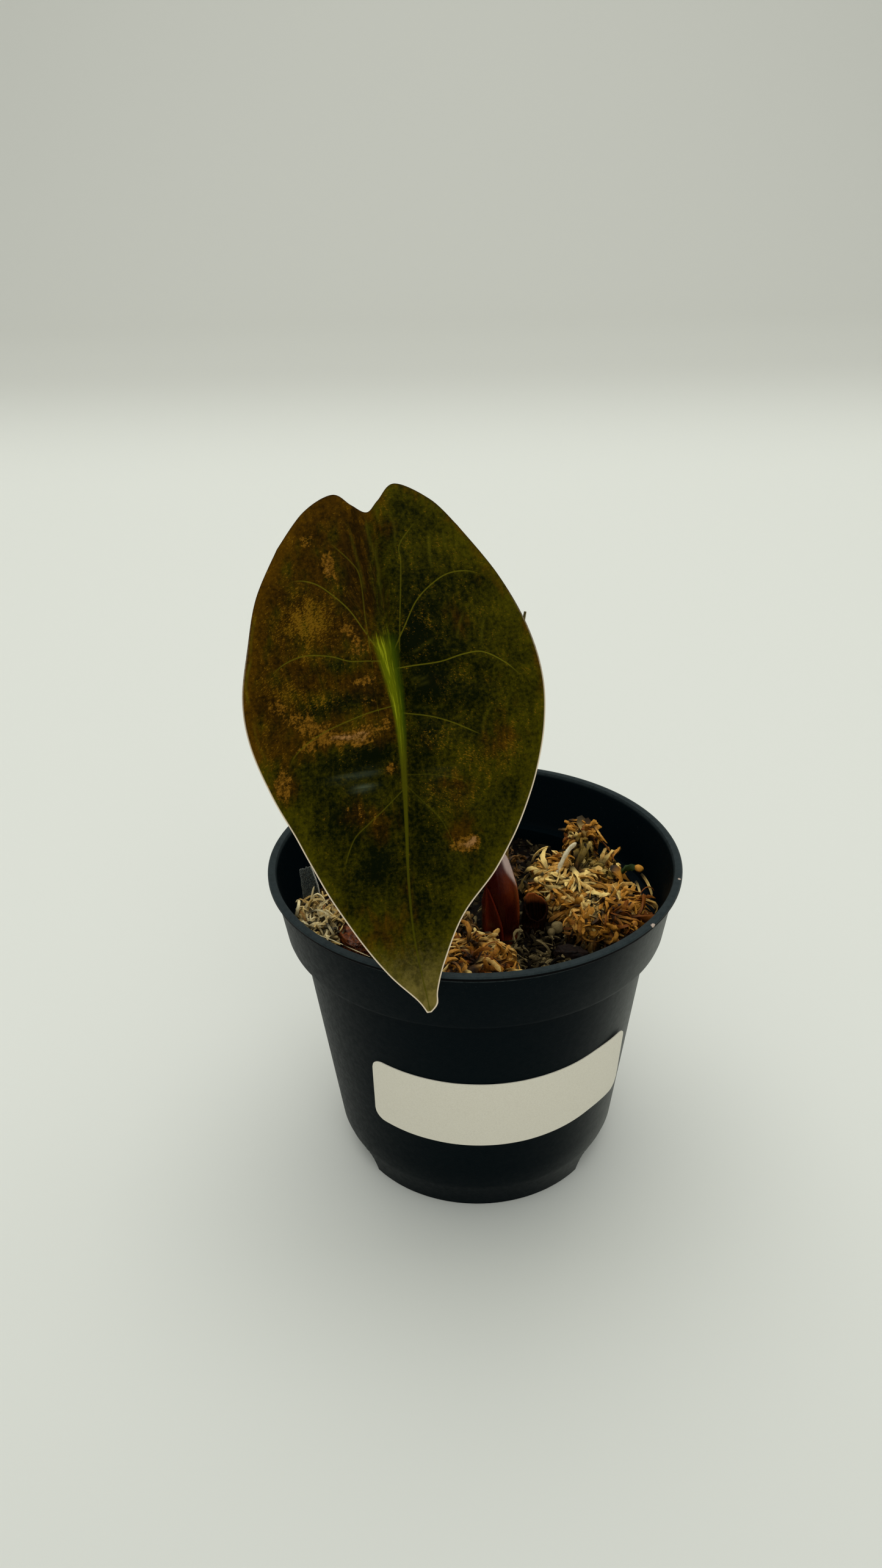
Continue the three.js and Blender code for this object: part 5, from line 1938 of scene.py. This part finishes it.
# Spots that make the blade's ground lighter or darker: across, down, their reach both ways and their
# strength. They are partly its own mottling and partly painted light and shade.
LIGHTNESS = (
    (6.0, -3.0, 3.0, 4.0, -0.24), (4.6, 1.6, 3.4, 3.6, -0.38), (5.4, 9.6, 4.4, 3.6, -0.3),
    (9.0, 4.0, 4.0, 4.0, -0.1), (-5.0, 17.6, 5.0, 1.7, -0.3), (-8.2, 9.3, 4.6, 1.2, -0.26),
    (-7.4, 3.4, 3.4, 1.4, -0.18), (-12.8, 9.9, 2.2, 1.0, -0.2), (2.0, 31.5, 3.0, 5.5, -0.2),
    (-5.3, 34.3, 3.4, 3.4, -0.22), (-11.1, 27.5, 3.6, 4.0, -0.22), (-8.3, 37.0, 3.6, 4.0, -0.14),
    (-8.0, 19.4, 7.0, 2.4, -0.18), (4.5, 15.6, 3.4, 1.8, -0.16), (3.0, 20.0, 2.6, 2.0, -0.12),
    (13.0, -11.6, 5.0, 4.0, 0.12), (18.5, -2.1, 3.4, 6.0, 0.12), (19.3, 13.9, 3.0, 7.0, 0.14),
    (11.5, 21.5, 5.0, 4.5, 0.16), (6.5, 31.5, 3.0, 3.0, 0.14), (8.4, -7.4, 3.0, 3.0, -0.1),
    (13.8, -5.8, 3.0, 3.0, -0.14), (12.2, 10.6, 5.0, 4.0, -0.08), (-11.0, -3.5, 4.0, 4.0, 0.1),
    (-9.0, 14.0, 8.0, 2.4, 0.12), (-6.5, 45.5, 4.0, 5.0, 0.12), (-17.0, 27.0, 2.0, 8.0, 0.1),
    (7.0, 40.5, 2.4, 4.0, 0.16), (-3.0, 8.6, 1.6, 2.4, -0.12), (-4.2, -5.0, 1.6, 4.0, -0.12),
    (1.0, 39.0, 3.0, 5.0, -0.1), (-3.4, 27.6, 2.6, 2.4, -0.06),
)
# Painted reflections on the blade: across, down, their reach both ways and their strength.
GLEAMS = (
    (-6.8, 22.7, 1.7, 0.5, 0.5), (-8.6, 20.8, 2.6, 0.7, 0.2), (-5.4, 20.4, 1.6, 0.7, 0.12),
    (5.4, 22.2, 2.4, 0.8, 0.06),
)


@dataclass(frozen=True)
class LeafBlade:
    """The blade: mapped between its edges, quilted between its veins, in two faces and a rim."""

    joint: Point = (-13.5, -18.0, 111.6)
    lean: float = 26.0
    turn: float = 3.0
    roll: float = 7.0
    thickness: float = 0.48
    rim: float = 0.2
    tip: float = 58.6
    columns: int = 168
    rows: int = 226

    def _axes(self) -> tuple[np.ndarray, np.ndarray, np.ndarray]:
        """The blade's directions: out of its upper face, down to its tip, and to its right."""
        lean, turn, roll = (math.radians(angle) for angle in (self.lean, self.turn, self.roll))
        facing = math.cos(lean)
        normal = np.array([math.sin(turn) * facing, -math.cos(turn) * facing, math.sin(lean)])
        level = np.array([math.cos(turn), math.sin(turn), 0.0])
        up = np.cross(normal, level)
        down = -math.cos(roll) * up + math.sin(roll) * level
        right = math.cos(roll) * level + math.sin(roll) * up
        return normal, down, right

    @staticmethod
    def _midrib_at(y: np.ndarray) -> np.ndarray:
        """How far the midrib has strayed sideways at many distances down."""
        table = Spline(MIDRIB).table
        return np.interp(y, table[:, 1], table[:, 0])

    @staticmethod
    def _flat(s: np.ndarray, t: np.ndarray) -> np.ndarray:
        """The places on the flat blade from unit coordinates across and down."""
        left = Spline(LEAF_LEFT, Knots.EVEN).at_many(t)
        right = Spline(LEAF_RIGHT, Knots.EVEN).at_many(t)
        top = Spline(LEAF_TOP, Knots.EVEN).at_many(s)
        first, last = np.array([*LEAF_LEFT[0], 0.0]), np.array([*LEAF_RIGHT[0], 0.0])
        chord = first + (last - first) * s[:, None]
        return left + (right - left) * s[:, None] + (top - chord) * ((1 - t) ** 3)[:, None]

    @staticmethod
    def _ease(x: np.ndarray) -> np.ndarray:
        """Eases many numbers from 0 to 1."""
        t = np.clip(x, 0.0, 1.0)
        return t * t * (3 - 2 * t)

    def _relief(self, x: np.ndarray, y: np.ndarray) -> np.ndarray:
        """The rise of many places off the flat blade."""
        ease = self._ease
        side = x - self._midrib_at(y)
        reach = np.abs(side)
        droop = 0.005 * side**2 + np.where(y > 0, 0.0011, 0.002) * y**2
        valley = 1.1 * np.exp(-((side / 2.2) ** 2)) * ease(2 * (self.tip - y) / self.tip)
        slope = np.where(y < -1 - 0.5 * reach, -0.62, 0.14)
        leaving = y - reach * slope - 0.011 * reach**2
        starts = (-1.0, 5.0, 12.0, 22.0, 31.0, 41.0)
        panel = sum(np.clip((leaving - a) / (b - a), 0, 1) for a, b in zip(starts, starts[1:]))
        pillow = np.sin(math.pi * (panel % 1)) ** 2
        fade = ease(2 * reach / 7) * ease((23.5 - reach) / 7) * ease((self.tip - 7 - y) / 14)
        return 0.42 * pillow * fade - valley - droop

    @staticmethod
    def _distances(places: np.ndarray, line: np.ndarray) -> tuple[np.ndarray, np.ndarray, np.ndarray]:
        """Measures many flat places against a polyline.

        Args:
            places: The places, one row each.
            line: The polyline's points, one row each.

        Returns:
            Each place's distance, its side of the line and the share of the line that is nearest.
        """
        nearest = np.full(len(places), 1e9)
        side = np.ones(len(places))
        share = np.zeros(len(places))
        for index, (start, end) in enumerate(zip(line, line[1:])):
            step = end - start
            off = places - start
            t = np.clip((off @ step) / max(step @ step, 1e-12), 0, 1)
            distance = np.linalg.norm(off - t[:, None] * step, axis=1)
            closer = distance < nearest
            nearest = np.where(closer, distance, nearest)
            cross = step[0] * off[:, 1] - step[1] * off[:, 0]
            side = np.where(closer, np.where(cross < 0, -1.0, 1.0), side)
            share = np.where(closer, (index + t) / (len(line) - 1), share)
        return nearest, side, share

    def _veins(self, flat: np.ndarray) -> tuple[np.ndarray, np.ndarray]:
        """Measures many flat places against the veins of their half.

        Args:
            flat: The places, one row each.

        Returns:
            The distance to the nearest vein, whose sign changes at each vein, and its strength there.
        """
        places = flat[:, :2]
        halves = places[:, 0] - self._midrib_at(places[:, 1])
        gap, run = np.full(len(places), 1e3), np.zeros(len(places))
        for chosen, veins in ((halves >= 0, RIGHT_VEINS), (halves < 0, LEFT_VEINS)):
            here = places[chosen]
            best, sign, strength = np.full(len(here), 1e3), np.ones(len(here)), np.zeros(len(here))
            for shown, points in veins:
                inner = Spline(points).at_many(np.linspace(0, 1, 40))[:, :2]
                start = inner[0] + (inner[0] - inner[1]) / np.linalg.norm(inner[0] - inner[1]) * 4.0
                end = inner[-1] + (inner[-1] - inner[-3]) / np.linalg.norm(inner[-1] - inner[-3]) * 30.0
                distance, side, _ = self._distances(here, np.array([start, *inner, end]))
                _, _, share = self._distances(here, inner)
                own = self._ease((1.0 - share) / 0.22)
                closer = distance < best
                best = np.where(closer, distance, best)
                strength = np.where(closer, own * shown, strength)
                sign = sign * side
            gap[chosen], run[chosen] = best * sign, strength
        seam = (places[:, 1] < 1.0) & (np.abs(halves) < 1.3)
        run = np.where(seam, 0.0, run)
        return gap, run

    @staticmethod
    def _flow(y: np.ndarray, side: np.ndarray) -> np.ndarray:
        """Coordinates that follow the veins: the reach from the midrib, and the distance across them."""
        reach = np.abs(side)
        below = y - 0.14 * reach - 0.011 * reach**2
        above = -8.0 * np.arctan2(-y, reach + 2.0)
        return np.stack([side, np.where(y > 0, below, np.minimum(above, below))], axis=1)

    def _fine_lines(self, flat: np.ndarray) -> np.ndarray:
        """How far the fine lines show at many flat places."""
        shown = np.zeros(len(flat))
        for strength, points in FINE_LINES:
            line = Spline(points).at_many(np.linspace(0, 1, 12))[:, :2]
            distance, _, share = self._distances(flat[:, :2], line)
            ends = self._ease(share / 0.2) * self._ease((1 - share) / 0.2)
            shown = np.maximum(shown, strength * ends * np.exp(-((distance / 0.2) ** 2)))
        return shown

    @staticmethod
    def _spots(x: np.ndarray, y: np.ndarray, spots: Rows) -> np.ndarray:
        """The sum of soft spots at many flat places."""
        total = np.zeros(len(x))
        for across, down, reach, run, strength in spots:
            total += strength * np.exp(-(((x - across) / reach) ** 2) - ((y - down) / run) ** 2)
        return total

    def build(self) -> Body:
        """The blade's mesh, with the numbers that its finishes read."""
        bm = unit_grid(self.columns, self.rows)
        unit = np.array([vert.co for vert in bm.verts])
        flat = self._flat(unit[:, 0], 1 - unit[:, 1])
        x, y = flat[:, 0], flat[:, 1]
        side = x - self._midrib_at(y)
        normal, down, right = self._axes()
        outline = np.concatenate([
            Spline(LEAF_TOP, Knots.EVEN).at_many(np.linspace(0, 1, 80)),
            Spline(LEAF_RIGHT, Knots.EVEN).at_many(np.linspace(0, 1, 110)),
            Spline(LEAF_LEFT, Knots.EVEN).at_many(np.linspace(1, 0, 110)),
        ])[:, :2]
        edge = self._distances(flat[:, :2], outline)[0]
        gap, run = self._veins(flat)
        width = np.interp(
            y, [0, 5, 9, 14, 21, 27, 35, 45, 58], [1.9, 1.45, 1.1, 0.74, 0.5, 0.32, 0.22, 0.16, 0.1]
        )
        share = side / width
        sunk = 0.06 * np.exp(-((gap / 0.32) ** 2)) * run
        ridge = 0.14 * np.sqrt(width) * self._ease(1.25 - np.abs(share)) * self._ease((y + 1.0) / 3.0)
        level = self._relief(x, y) - sunk + ridge
        blades = np.array(self.joint) + np.outer(x, right) + np.outer(y, down) + np.outer(level, normal)
        ribbed = self.rim + (self.thickness - self.rim) * self._ease(edge / 2.0)
        ribbed = ribbed + 0.22 * np.exp(-((gap / 0.5) ** 2)) * run * self._ease(edge / 3)
        ease = self._ease
        lower = ease((y - 14.5) / 5.0)
        margin = ease((3.2 - edge) / 3.6)
        bronzed = mix(0.1, mix(0.6, 0.18, lower), ease((1.0 - side) / 2.4))
        bronzed = bronzed + 0.36 * margin * (1 - 0.9 * lower)
        notch = ease((-1.0 - y) / 5.0) * ease((5.5 + 0.15 * y - np.abs(side + 1.6)) / 2.5)
        numbers = {
            "vein_gap": gap, "vein_run": run, "rim": edge, "midrib": share, "down": y, "notch": notch,
            "bronze": bronzed + self._spots(x, y, BRONZED),
            # light: how light the ground is, partly the blade's own mottling and partly painted light and
            # shade.
            "light": 0.36 + 0.04 * ease(-side) * (1 - lower) + 0.24 * margin + self._spots(x, y, LIGHTNESS),
            "copper": self._spots(x, y, PATCHES), "crowd": self._spots(x, y, CROWDS) - 0.06 * lower,
            "gleam": self._spots(x, y, GLEAMS), "minor": self._fine_lines(flat),
        }
        layers = {name: number_layer(bm, name) for name in numbers}
        table = {name: values.tolist() for name, values in numbers.items()}
        for index, vert in enumerate(bm.verts):
            vert.co = blades[index]
            vert.index = index
            for name, layer in layers.items():
                vert[layer] = table[name][index]
        flow = self._flow(y, side)
        leaf_uv = bm.loops.layers.uv.new("leaf")
        flow_uv = bm.loops.layers.uv.new("flow")
        for face in bm.faces:
            for loop in face.loops:
                index = loop.vert.index
                loop[leaf_uv].uv = (x[index] / UV_SPAN, y[index] / UV_SPAN)
                loop[flow_uv].uv = flow[index] / UV_SPAN
        bm.normal_update()
        if sum((face.normal for face in bm.faces), Vector()).dot(Vector(normal)) < 0:
            bmesh.ops.reverse_faces(bm, faces=bm.faces)
            bm.normal_update()
        inward = [-vert.normal * depth for vert, depth in zip(bm.verts, ribbed.tolist())]
        made = bmesh.ops.duplicate(bm, geom=bm.verts[:] + bm.edges[:] + bm.faces[:])
        backs = [item for item in made["geom"] if isinstance(item, bmesh.types.BMFace)]
        pairs = made["vert_map"]
        for vert in [item for item in made["geom"] if isinstance(item, bmesh.types.BMVert)]:
            vert.co = vert.co + inward[pairs[vert].index]
        bmesh.ops.reverse_faces(bm, faces=backs)
        bmesh.ops.bridge_loops(bm, edges=[edge for edge in bm.edges if edge.is_boundary])
        for face in bm.faces:
            face.material_index = 0
        for face in backs:
            face.material_index = 1
        return bm


# Putting it together


def carved(body: Body, cutter: Body) -> Body:
    """Cuts one mesh out of another and uses both up.

    Args:
        body: The mesh that is cut.
        cutter: The mesh that cuts it.

    Returns:
        What is left of the body.
    """
    meshes = {"carved_body": body, "carving_cutter": cutter}
    things = [linked(name, packed(bm, name)) for name, bm in meshes.items()]
    cut = things[0].modifiers.new("cut", "BOOLEAN")
    cut.operation = "DIFFERENCE"
    cut.solver = "EXACT"
    cut.object = things[1]
    left = bmesh.new()
    left.from_object(things[0], bpy.context.evaluated_depsgraph_get())
    for thing in things:
        mesh = thing.data
        bpy.data.objects.remove(thing)
        bpy.data.meshes.remove(mesh)
    return left


def finished() -> dict[str, list[Material]]:
    """Makes every material of the object once, and gives each slot's own."""
    effects = Effects()
    finishes = (
        PotPlastic(),
        LabelPaper(),
        MixCrumb(),
        MossDry("moss_gold", rgb(248, 214, 128), rgb(196, 134, 42), rgb(128, 70, 10), rgb(112, 98, 40)),
        MossDry("moss_pale", rgb(252, 234, 178), rgb(216, 182, 106), rgb(146, 96, 40), rgb(180, 156, 96)),
        MossDry("moss_brown", rgb(190, 156, 90), rgb(110, 74, 28), rgb(50, 26, 6), rgb(74, 66, 30)),
        ShootSkin("stalk", rgb(32, 0, 0), rgb(58, 6, 1), rgb(146, 62, 20)),
        ShootSkin("scale_leaf", rgb(42, 1, 0), rgb(70, 8, 1), rgb(120, 40, 16)),
        ShootSkin(
            "new_leaf", rgb(96, 58, 36), rgb(74, 66, 30), rgb(134, 118, 58), low_height=60.0, high_height=96.0
        ),
        ShootSkin(
            "dry_leaf_base", rgb(4, 2, 1), rgb(9, 3, 1), rgb(140, 72, 30),
            low_height=47.0, high_height=54.0, rough=0.7, gloss=0.02,
        ),
        FilmSkin(),
        DryTissue("root", rgb(206, 190, 150), rgb(244, 234, 198), (1.2, 1.2, 0.7), 0.6),
        DryTissue("corm", rgb(66, 38, 20), rgb(150, 112, 70), (1.0, 1.0, 1.4), 0.75),
        DryTissue("bark_red", rgb(26, 8, 2), rgb(142, 72, 26), (0.8, 0.8, 0.8), 0.4, depth=0.4, coat=0.15),
        DryTissue("bark_dark", rgb(6, 3, 2), rgb(34, 18, 8), (0.5, 1.6, 1.6), 0.7, depth=0.5),
    )
    made = {finish.name: [finish.material(effects)] for finish in finishes}
    made["blade"] = [LeafFace().material(effects), LeafBack().material(effects)]
    return made


@dataclass(frozen=True)
class StudioFloor:
    """A pale floor that curves up far behind the object, painted lighter across the middle and darker far
    back as painted light and shade.
    """

    half: float = 2.6
    front: float = -1.6
    back: float = 1.5
    bend: float = 0.9
    top: float = 2.4
    sunk: float = 0.00005
    steps: int = 24
    colour: Rgb = rgb(214, 215, 207)
    # Painted light: the floor is brighter across the middle, and painted shade makes it darker far back.
    middle: Rgb = rgb(224, 225, 217)
    far: Rgb = rgb(199, 199, 191)

    def build(self) -> Thing:
        """The floor, in metres."""
        bm = bmesh.new()
        section = [(self.front, 0.0), (self.back, 0.0)]
        for step in range(1, self.steps + 1):
            turn = math.pi / 2 * step / self.steps
            section.append((self.back + self.bend * math.sin(turn), self.bend * (1 - math.cos(turn))))
        section.append((self.back + self.bend, self.top))
        verts = [bm.verts.new((-self.half, y, z - self.sunk)) for y, z in section]
        edges = [bm.edges.new(pair) for pair in zip(verts, verts[1:])]
        made = bmesh.ops.extrude_edge_only(bm, edges=edges)["geom"]
        for vert in (item for item in made if isinstance(item, bmesh.types.BMVert)):
            vert.co.x = self.half
        bmesh.ops.recalc_face_normals(bm, faces=bm.faces)
        bm.normal_update()
        bm.faces.ensure_lookup_table()
        if bm.faces[0].normal.z < 0:
            bmesh.ops.reverse_faces(bm, faces=bm.faces)
        for face in bm.faces:
            face.smooth = True
        mesh = packed(bm, "studio_floor")
        s = Surface("studio_floor")
        back = s.part(s.place(), 1)
        # Painted light and shade: lighter across the middle, darker far back.
        near = s.blend(s.band(back, -110.0, 30.0), self.colour, self.middle)
        colour = s.blend(s.band(back, 560.0, 1120.0), near, self.far)
        mesh.materials.append(s.close(colour, 0.55, None, Specular_IOR_Level=0.2))
        floor = linked("studio_floor", mesh)
        return floor


@dataclass(frozen=True)
class Lamp:
    """A soft rectangular light, aimed at a point. Lengths are in metres."""

    name: str
    spot: Point
    aim: Point
    size: Pair
    power: float
    colour: Rgb = (1.0, 1.0, 1.0)

    def build(self) -> Thing:
        """The light."""
        light = bpy.data.lights.new(self.name, "AREA")
        light.shape = "RECTANGLE"
        light.size, light.size_y = self.size
        light.energy = self.power
        light.color = self.colour
        lamp = linked(self.name, light)
        lamp.location = self.spot
        lamp.rotation_mode = "QUATERNION"
        lamp.rotation_quaternion = (Vector(self.aim) - Vector(self.spot)).to_track_quat("-Z", "Y")
        return lamp


@dataclass(frozen=True)
class Studio:
    """The floor, the light round the object and the camera of the photograph."""

    fill: Rgb = rgb(214, 218, 216)
    strength: float = 0.85
    lamps: tuple[Lamp, ...] = (
        Lamp("ceiling", (-0.05, 0.9, 1.9), (-0.05, 0.9, 0.0), (2.2, 2.0), 21.0, (1.0, 0.995, 0.975)),
        Lamp("front_fill", (0.1, -0.9, 0.9), (0.0, 0.0, 0.06), (0.9, 0.5), 2.4, (0.98, 0.99, 1.0)),
    )
    camera_spot: Point = (0.0, -0.1884, 0.17331)
    forward: Point = (-0.0275, 0.8894, -0.4563)
    right: Point = (0.9996, 0.0203, -0.0206)
    lens: float = 27.05

    def _camera(self) -> None:
        """Sets the photograph's camera."""
        data = bpy.data.cameras.new("photo_camera")
        data.sensor_width = 36.0
        data.lens = self.lens
        data.clip_start, data.clip_end = 0.005, 20.0
        ahead, right = Vector(self.forward).normalized(), Vector(self.right)
        right = (right - ahead * right.dot(ahead)).normalized()
        turn = Matrix((right, right.cross(ahead), -ahead)).transposed()
        camera = linked("photo_camera", data)
        camera.matrix_world = Matrix.LocRotScale(Vector(self.camera_spot), turn, None)
        bpy.context.scene.camera = camera

    def build(self) -> None:
        """Builds the studio."""
        StudioFloor().build()
        for lamp in self.lamps:
            lamp.build()
        world = bpy.data.worlds.new("soft_room")
        world.use_nodes = True
        world.node_tree.nodes.clear()
        graph = Graph(world.node_tree)
        shade = graph.node("ShaderNodeBackground", {"Color": self.fill, "Strength": self.strength})
        out = graph.node("ShaderNodeOutputWorld")
        graph.feed(out.inputs["Surface"], shade.outputs[0])
        bpy.context.scene.world = world
        bpy.context.scene.view_settings.view_transform = "Standard"
        self._camera()


LEAFY, FLAT, PLAIN = Strand.LEAFY, Strand.FLAT, Strand.PLAIN
HEAP_THREADS = (
    Thread(FLAT, ((17.0, 17.6, 57.2), (19.0, 16.6, 57.6), (21.0, 15.6, 56.6), (22.6, 14.6, 54.6)), 1.3, 0.62),
    Thread(FLAT, ((21.0, 17.2, 60.4), (21.8, 16.0, 58.4), (22.8, 15.0, 56.6), (23.0, 14.2, 54.4)), 1.5, 0.72),
    Thread(FLAT, ((22.4, 17.0, 60.0), (23.6, 15.8, 57.8), (23.8, 14.8, 55.6), (23.0, 13.6, 53.6)), 1.1, 0.5),
    Thread(FLAT, ((19.0, 17.8, 59.2), (20.4, 17.0, 59.6), (21.6, 16.6, 59.4), (23.0, 16.0, 58.4)), 0.9, 0.4),
    Thread(PLAIN, ((24.4, 16.4, 56.0), (26.2, 13.0, 56.4), (27.6, 9.4, 55.4), (27.4, 7.4, 53.2)), 0.16, 0.05),
    Thread(
        PLAIN, ((11.4, 13.2, 51.4), (11.6, 13.6, 53.6), (12.8, 13.2, 55.2), (14.6, 12.8, 56.0)), 0.26, 0.8
    ),
    Thread(PLAIN, ((30.4, 1.4, 55.0), (31.0, 0.6, 54.4), (31.2, -0.8, 53.2), (31.0, -2.0, 51.6)), 0.3, 0.9),
    Thread(PLAIN, ((31.6, 3.0, 55.6), (32.6, 2.2, 54.8), (33.2, 1.0, 53.8), (33.4, 0.0, 52.6)), 0.28, 0.85),
    Thread(LEAFY, ((27.8, 4.6, 54.6), (28.8, 4.6, 56.0), (29.8, 4.4, 56.6), (31.0, 4.4, 56.0)), 0.75, 2.0),
    Thread(FLAT, ((9.6, 6.6, 53.6), (10.2, 7.4, 54.4), (11.4, 7.6, 54.6), (12.6, 7.4, 54.0)), 0.5, 0.95),
    Thread(FLAT, ((26.0, 5.0, 55.8), (27.4, 4.0, 56.2), (28.2, 2.6, 54.6), (28.0, 1.2, 52.4)), 1.2, 0.3),
)
HEAP_PODS = (
    Pod((31.3, 4.3, 56.0), (0.95, 0.75, 0.7), 0.0, 0.5),
    Pod((24.6, 16.6, 56.6), (0.6, 0.55, 0.6), 0.0, 0.7),
    Pod((12.9, 5.4, 52.6), (1.5, 0.85, 0.75), -12.0, 0.85),
)
NEST_THREADS = tuple(
    Thread(PLAIN, points, width, tint)
    for width, tint, points in (
        (0.24, 0.9, ((-30.5, -4.9, 52.6), (-30.4, -4.6, 54.6), (-30.0, -4.3, 56.4), (-29.6, -3.9, 57.6))),
        (0.22, 0.85, ((-30.2, -5.4, 53.0), (-30.2, -4.6, 56.6), (-28.8, -4.5, 57.8), (-27.4, -5.6, 55.2))),
        (0.2, 0.7, ((-31.2, -5.6, 51.4), (-31.0, -5.4, 53.4), (-30.2, -4.6, 55.4), (-29.2, -4.6, 56.4))),
        (0.26, 1.0, ((-29.0, -6.6, 53.6), (-28.0, -7.6, 55.4), (-26.6, -8.0, 55.2), (-25.6, -8.6, 53.8))),
        (0.11, 1.0, ((-29.8, -14.0, 54.6), (-28.6, -18.6, 57.4), (-25.6, -23.6, 60.2), (-21.6, -26.8, 60.4))),
        (0.1, 1.0, ((-21.9, -26.6, 60.4), (-20.4, -27.8, 60.4), (-18.8, -28.8, 60.4), (-17.2, -29.8, 60.2))),
    )
)
MIX_PODS = (
    Pod((15.4, -4.9, 48.9), (1.3, 1.0, 1.2), 10.0, 0.7),
    Pod((14.2, -6.0, 48.6), (0.8, 0.7, 0.8), 50.0, 0.55),
    Pod((6.4, -11.0, 48.4), (0.9, 0.7, 0.5), 20.0, 0.6),
)
CLUMPS = (
    MossClump(
        "moss_heap", "moss_gold", 17, 34,
        (
            (19.0, 7.0, 49.6, 8.4, 7.6, 4.6), (21.6, 14.6, 53.8, 2.9, 2.7, 5.0),
            (25.0, -4.2, 49.4, 6.2, 6.0, 4.6)
        ),
        locks=290, lock_size=6, leafy=0.52, flat=0.26, length=1.3, width=1.05, curl=0.55, loops=0.25,
        lowest=0.1,
        threads=HEAP_THREADS, pods=HEAP_PODS,
        tinted=(
            (15.0, 6.3, 56.0, 3.4, 0.4), (18.4, 5.1, 55.0, 3.2, 0.4), (23.0, -3.6, 52.5, 3.2, 0.36),
            (20.7, -3.1, 53.0, 2.8, 0.2), (25.3, -8.7, 50.0, 5.0, -0.3), (28.8, 3.2, 53.0, 4.0, -0.25),
            (8.8, 10.4, 53.0, 4.0, -0.3), (19.8, 11.6, 55.0, 3.0, -0.2),
        ),
        aged=(
            (23.3, 7.9, 57.0, 3.6, 0.6), (24.4, 6.9, 55.0, 3.0, 0.5), (20.0, 12.0, 55.0, 3.4, 0.5),
            (9.0, 9.0, 52.0, 4.0, 0.5)
        ),
    ),
    MossClump(
        "moss_front", "moss_gold", 23, 27,
        (
            (-0.2, -21.4, 49.0, 6.4, 6.6, 4.2), (-10.2, -22.6, 48.8, 6.0, 5.4, 3.6),
            (0.0, -15.5, 49.0, 3.6, 4.4, 4.0)
        ),
        locks=190, lock_size=6, leafy=0.52, flat=0.26, length=1.3, width=1.0, curl=0.55, loops=0.2,
        tinted=((0.0, -14.5, 53.0, 3.6, 0.35), (1.0, -22.0, 52.0, 4.5, -0.25), (5.0, -24.0, 51.0, 4.0, 0.15)),
    ),
    MossClump(
        "moss_left", "moss_pale", 37, 14, ((-28.4, -8.6, 49.8, 3.5, 7.0, 4.2),),
        locks=60, leafy=0.0, flat=0.04, length=1.3, width=1.5, curl=1.0, loops=0.85, shade=3.0,
        threads=NEST_THREADS,
    ),
    MossClump(
        "moss_middle", "moss_brown", 71, 14, ((-8.8, -6.0, 48.2, 8.6, 8.0, 3.6),), locks=60, width=0.75,
        curl=0.8
    ),
    MossClump(
        "moss_back", "moss_brown", 53, 26,
        (
            (-10.0, 18.6, 48.6, 14.0, 10.0, 4.2), (-22.6, 6.0, 48.4, 7.4, 7.0, 3.8),
            (3.0, 20.6, 46.6, 7.5, 5.4, 2.6)
        ),
        locks=80,
    ),
)
CHIPS = (
    BarkChip("bark_chip_left", "bark_red", 5, (-21.8, -11.2, 50.9), (10.5, 5.6, 4.4), (10.0, -6.0, -54.0)),
    BarkChip("bark_chip_right", "bark_dark", 8, (17.2, -13.2, 48.9), (6.4, 4.6, 2.6), (-8.0, 14.0, 24.0)),
)


def main() -> None:
    """Builds every piece, the studio and the camera."""
    logging.basicConfig(level=logging.INFO, format="%(name)s: %(message)s")
    noise.seed_set(NOISE_SEED)
    materials = finished()
    pot = NurseryPot()
    bed = PottingMix(pot)
    stalk = Stalk()

    def keep(places: np.ndarray) -> np.ndarray:
        """Keeps strands above the bed, inside the wall and out of the shoot."""
        for chip in CHIPS:
            places = chip.clear(places)
        return bed.keep(stalk.clear(places))

    pieces = [
        (pot.build, "pot", "pot_plastic", "nursery_pot", 28.0),
        (BlankLabel(pot).build, "label", "label_paper", "blank_label", CREASE),
        (bed.build, "mix", "potting_mix", "potting_mix", CREASE),
    ]
    for clump in CLUMPS:
        pieces.append((partial(clump.build, keep), clump.name + "_tangle", clump.slot, clump.name, 70.0))
    for chip in CHIPS:
        pieces.append((chip.build, chip.name + "_rough", chip.slot, chip.name, 60.0))
    pieces += [
        (RootBit().build, "root_stub", "root", "root_bit", CREASE),
        (DryStrip().build, "dry_strip_film", "dry_strip", "dry_strip", CREASE),
        (stalk.build, "stalk", "stalk", "leaf_stalk", CREASE),
        (NewLeaf().build, "rolled_leaf", "new_leaf", "new_leaf", CREASE),
        (ScaleLeaf(stalk).build, "scale", "scale_leaf", "scale_leaf", CREASE),
        (OldBase().build, "old_base", "dry_leaf_base", "old_leaf_base", CREASE),
        (LeafBlade().build, "blade", "blade", "leaf_blade", 80.0),
    ]
    for build, name, slot, node, crease in pieces:
        publish(build(), name, slot, materials[slot], [node], crease)
    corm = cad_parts["corm_with_roots"]
    corm.data.materials.clear()
    corm.data.materials.append(materials["corm"][0])
    Studio().build()


if __name__ == "__main__":
    main()
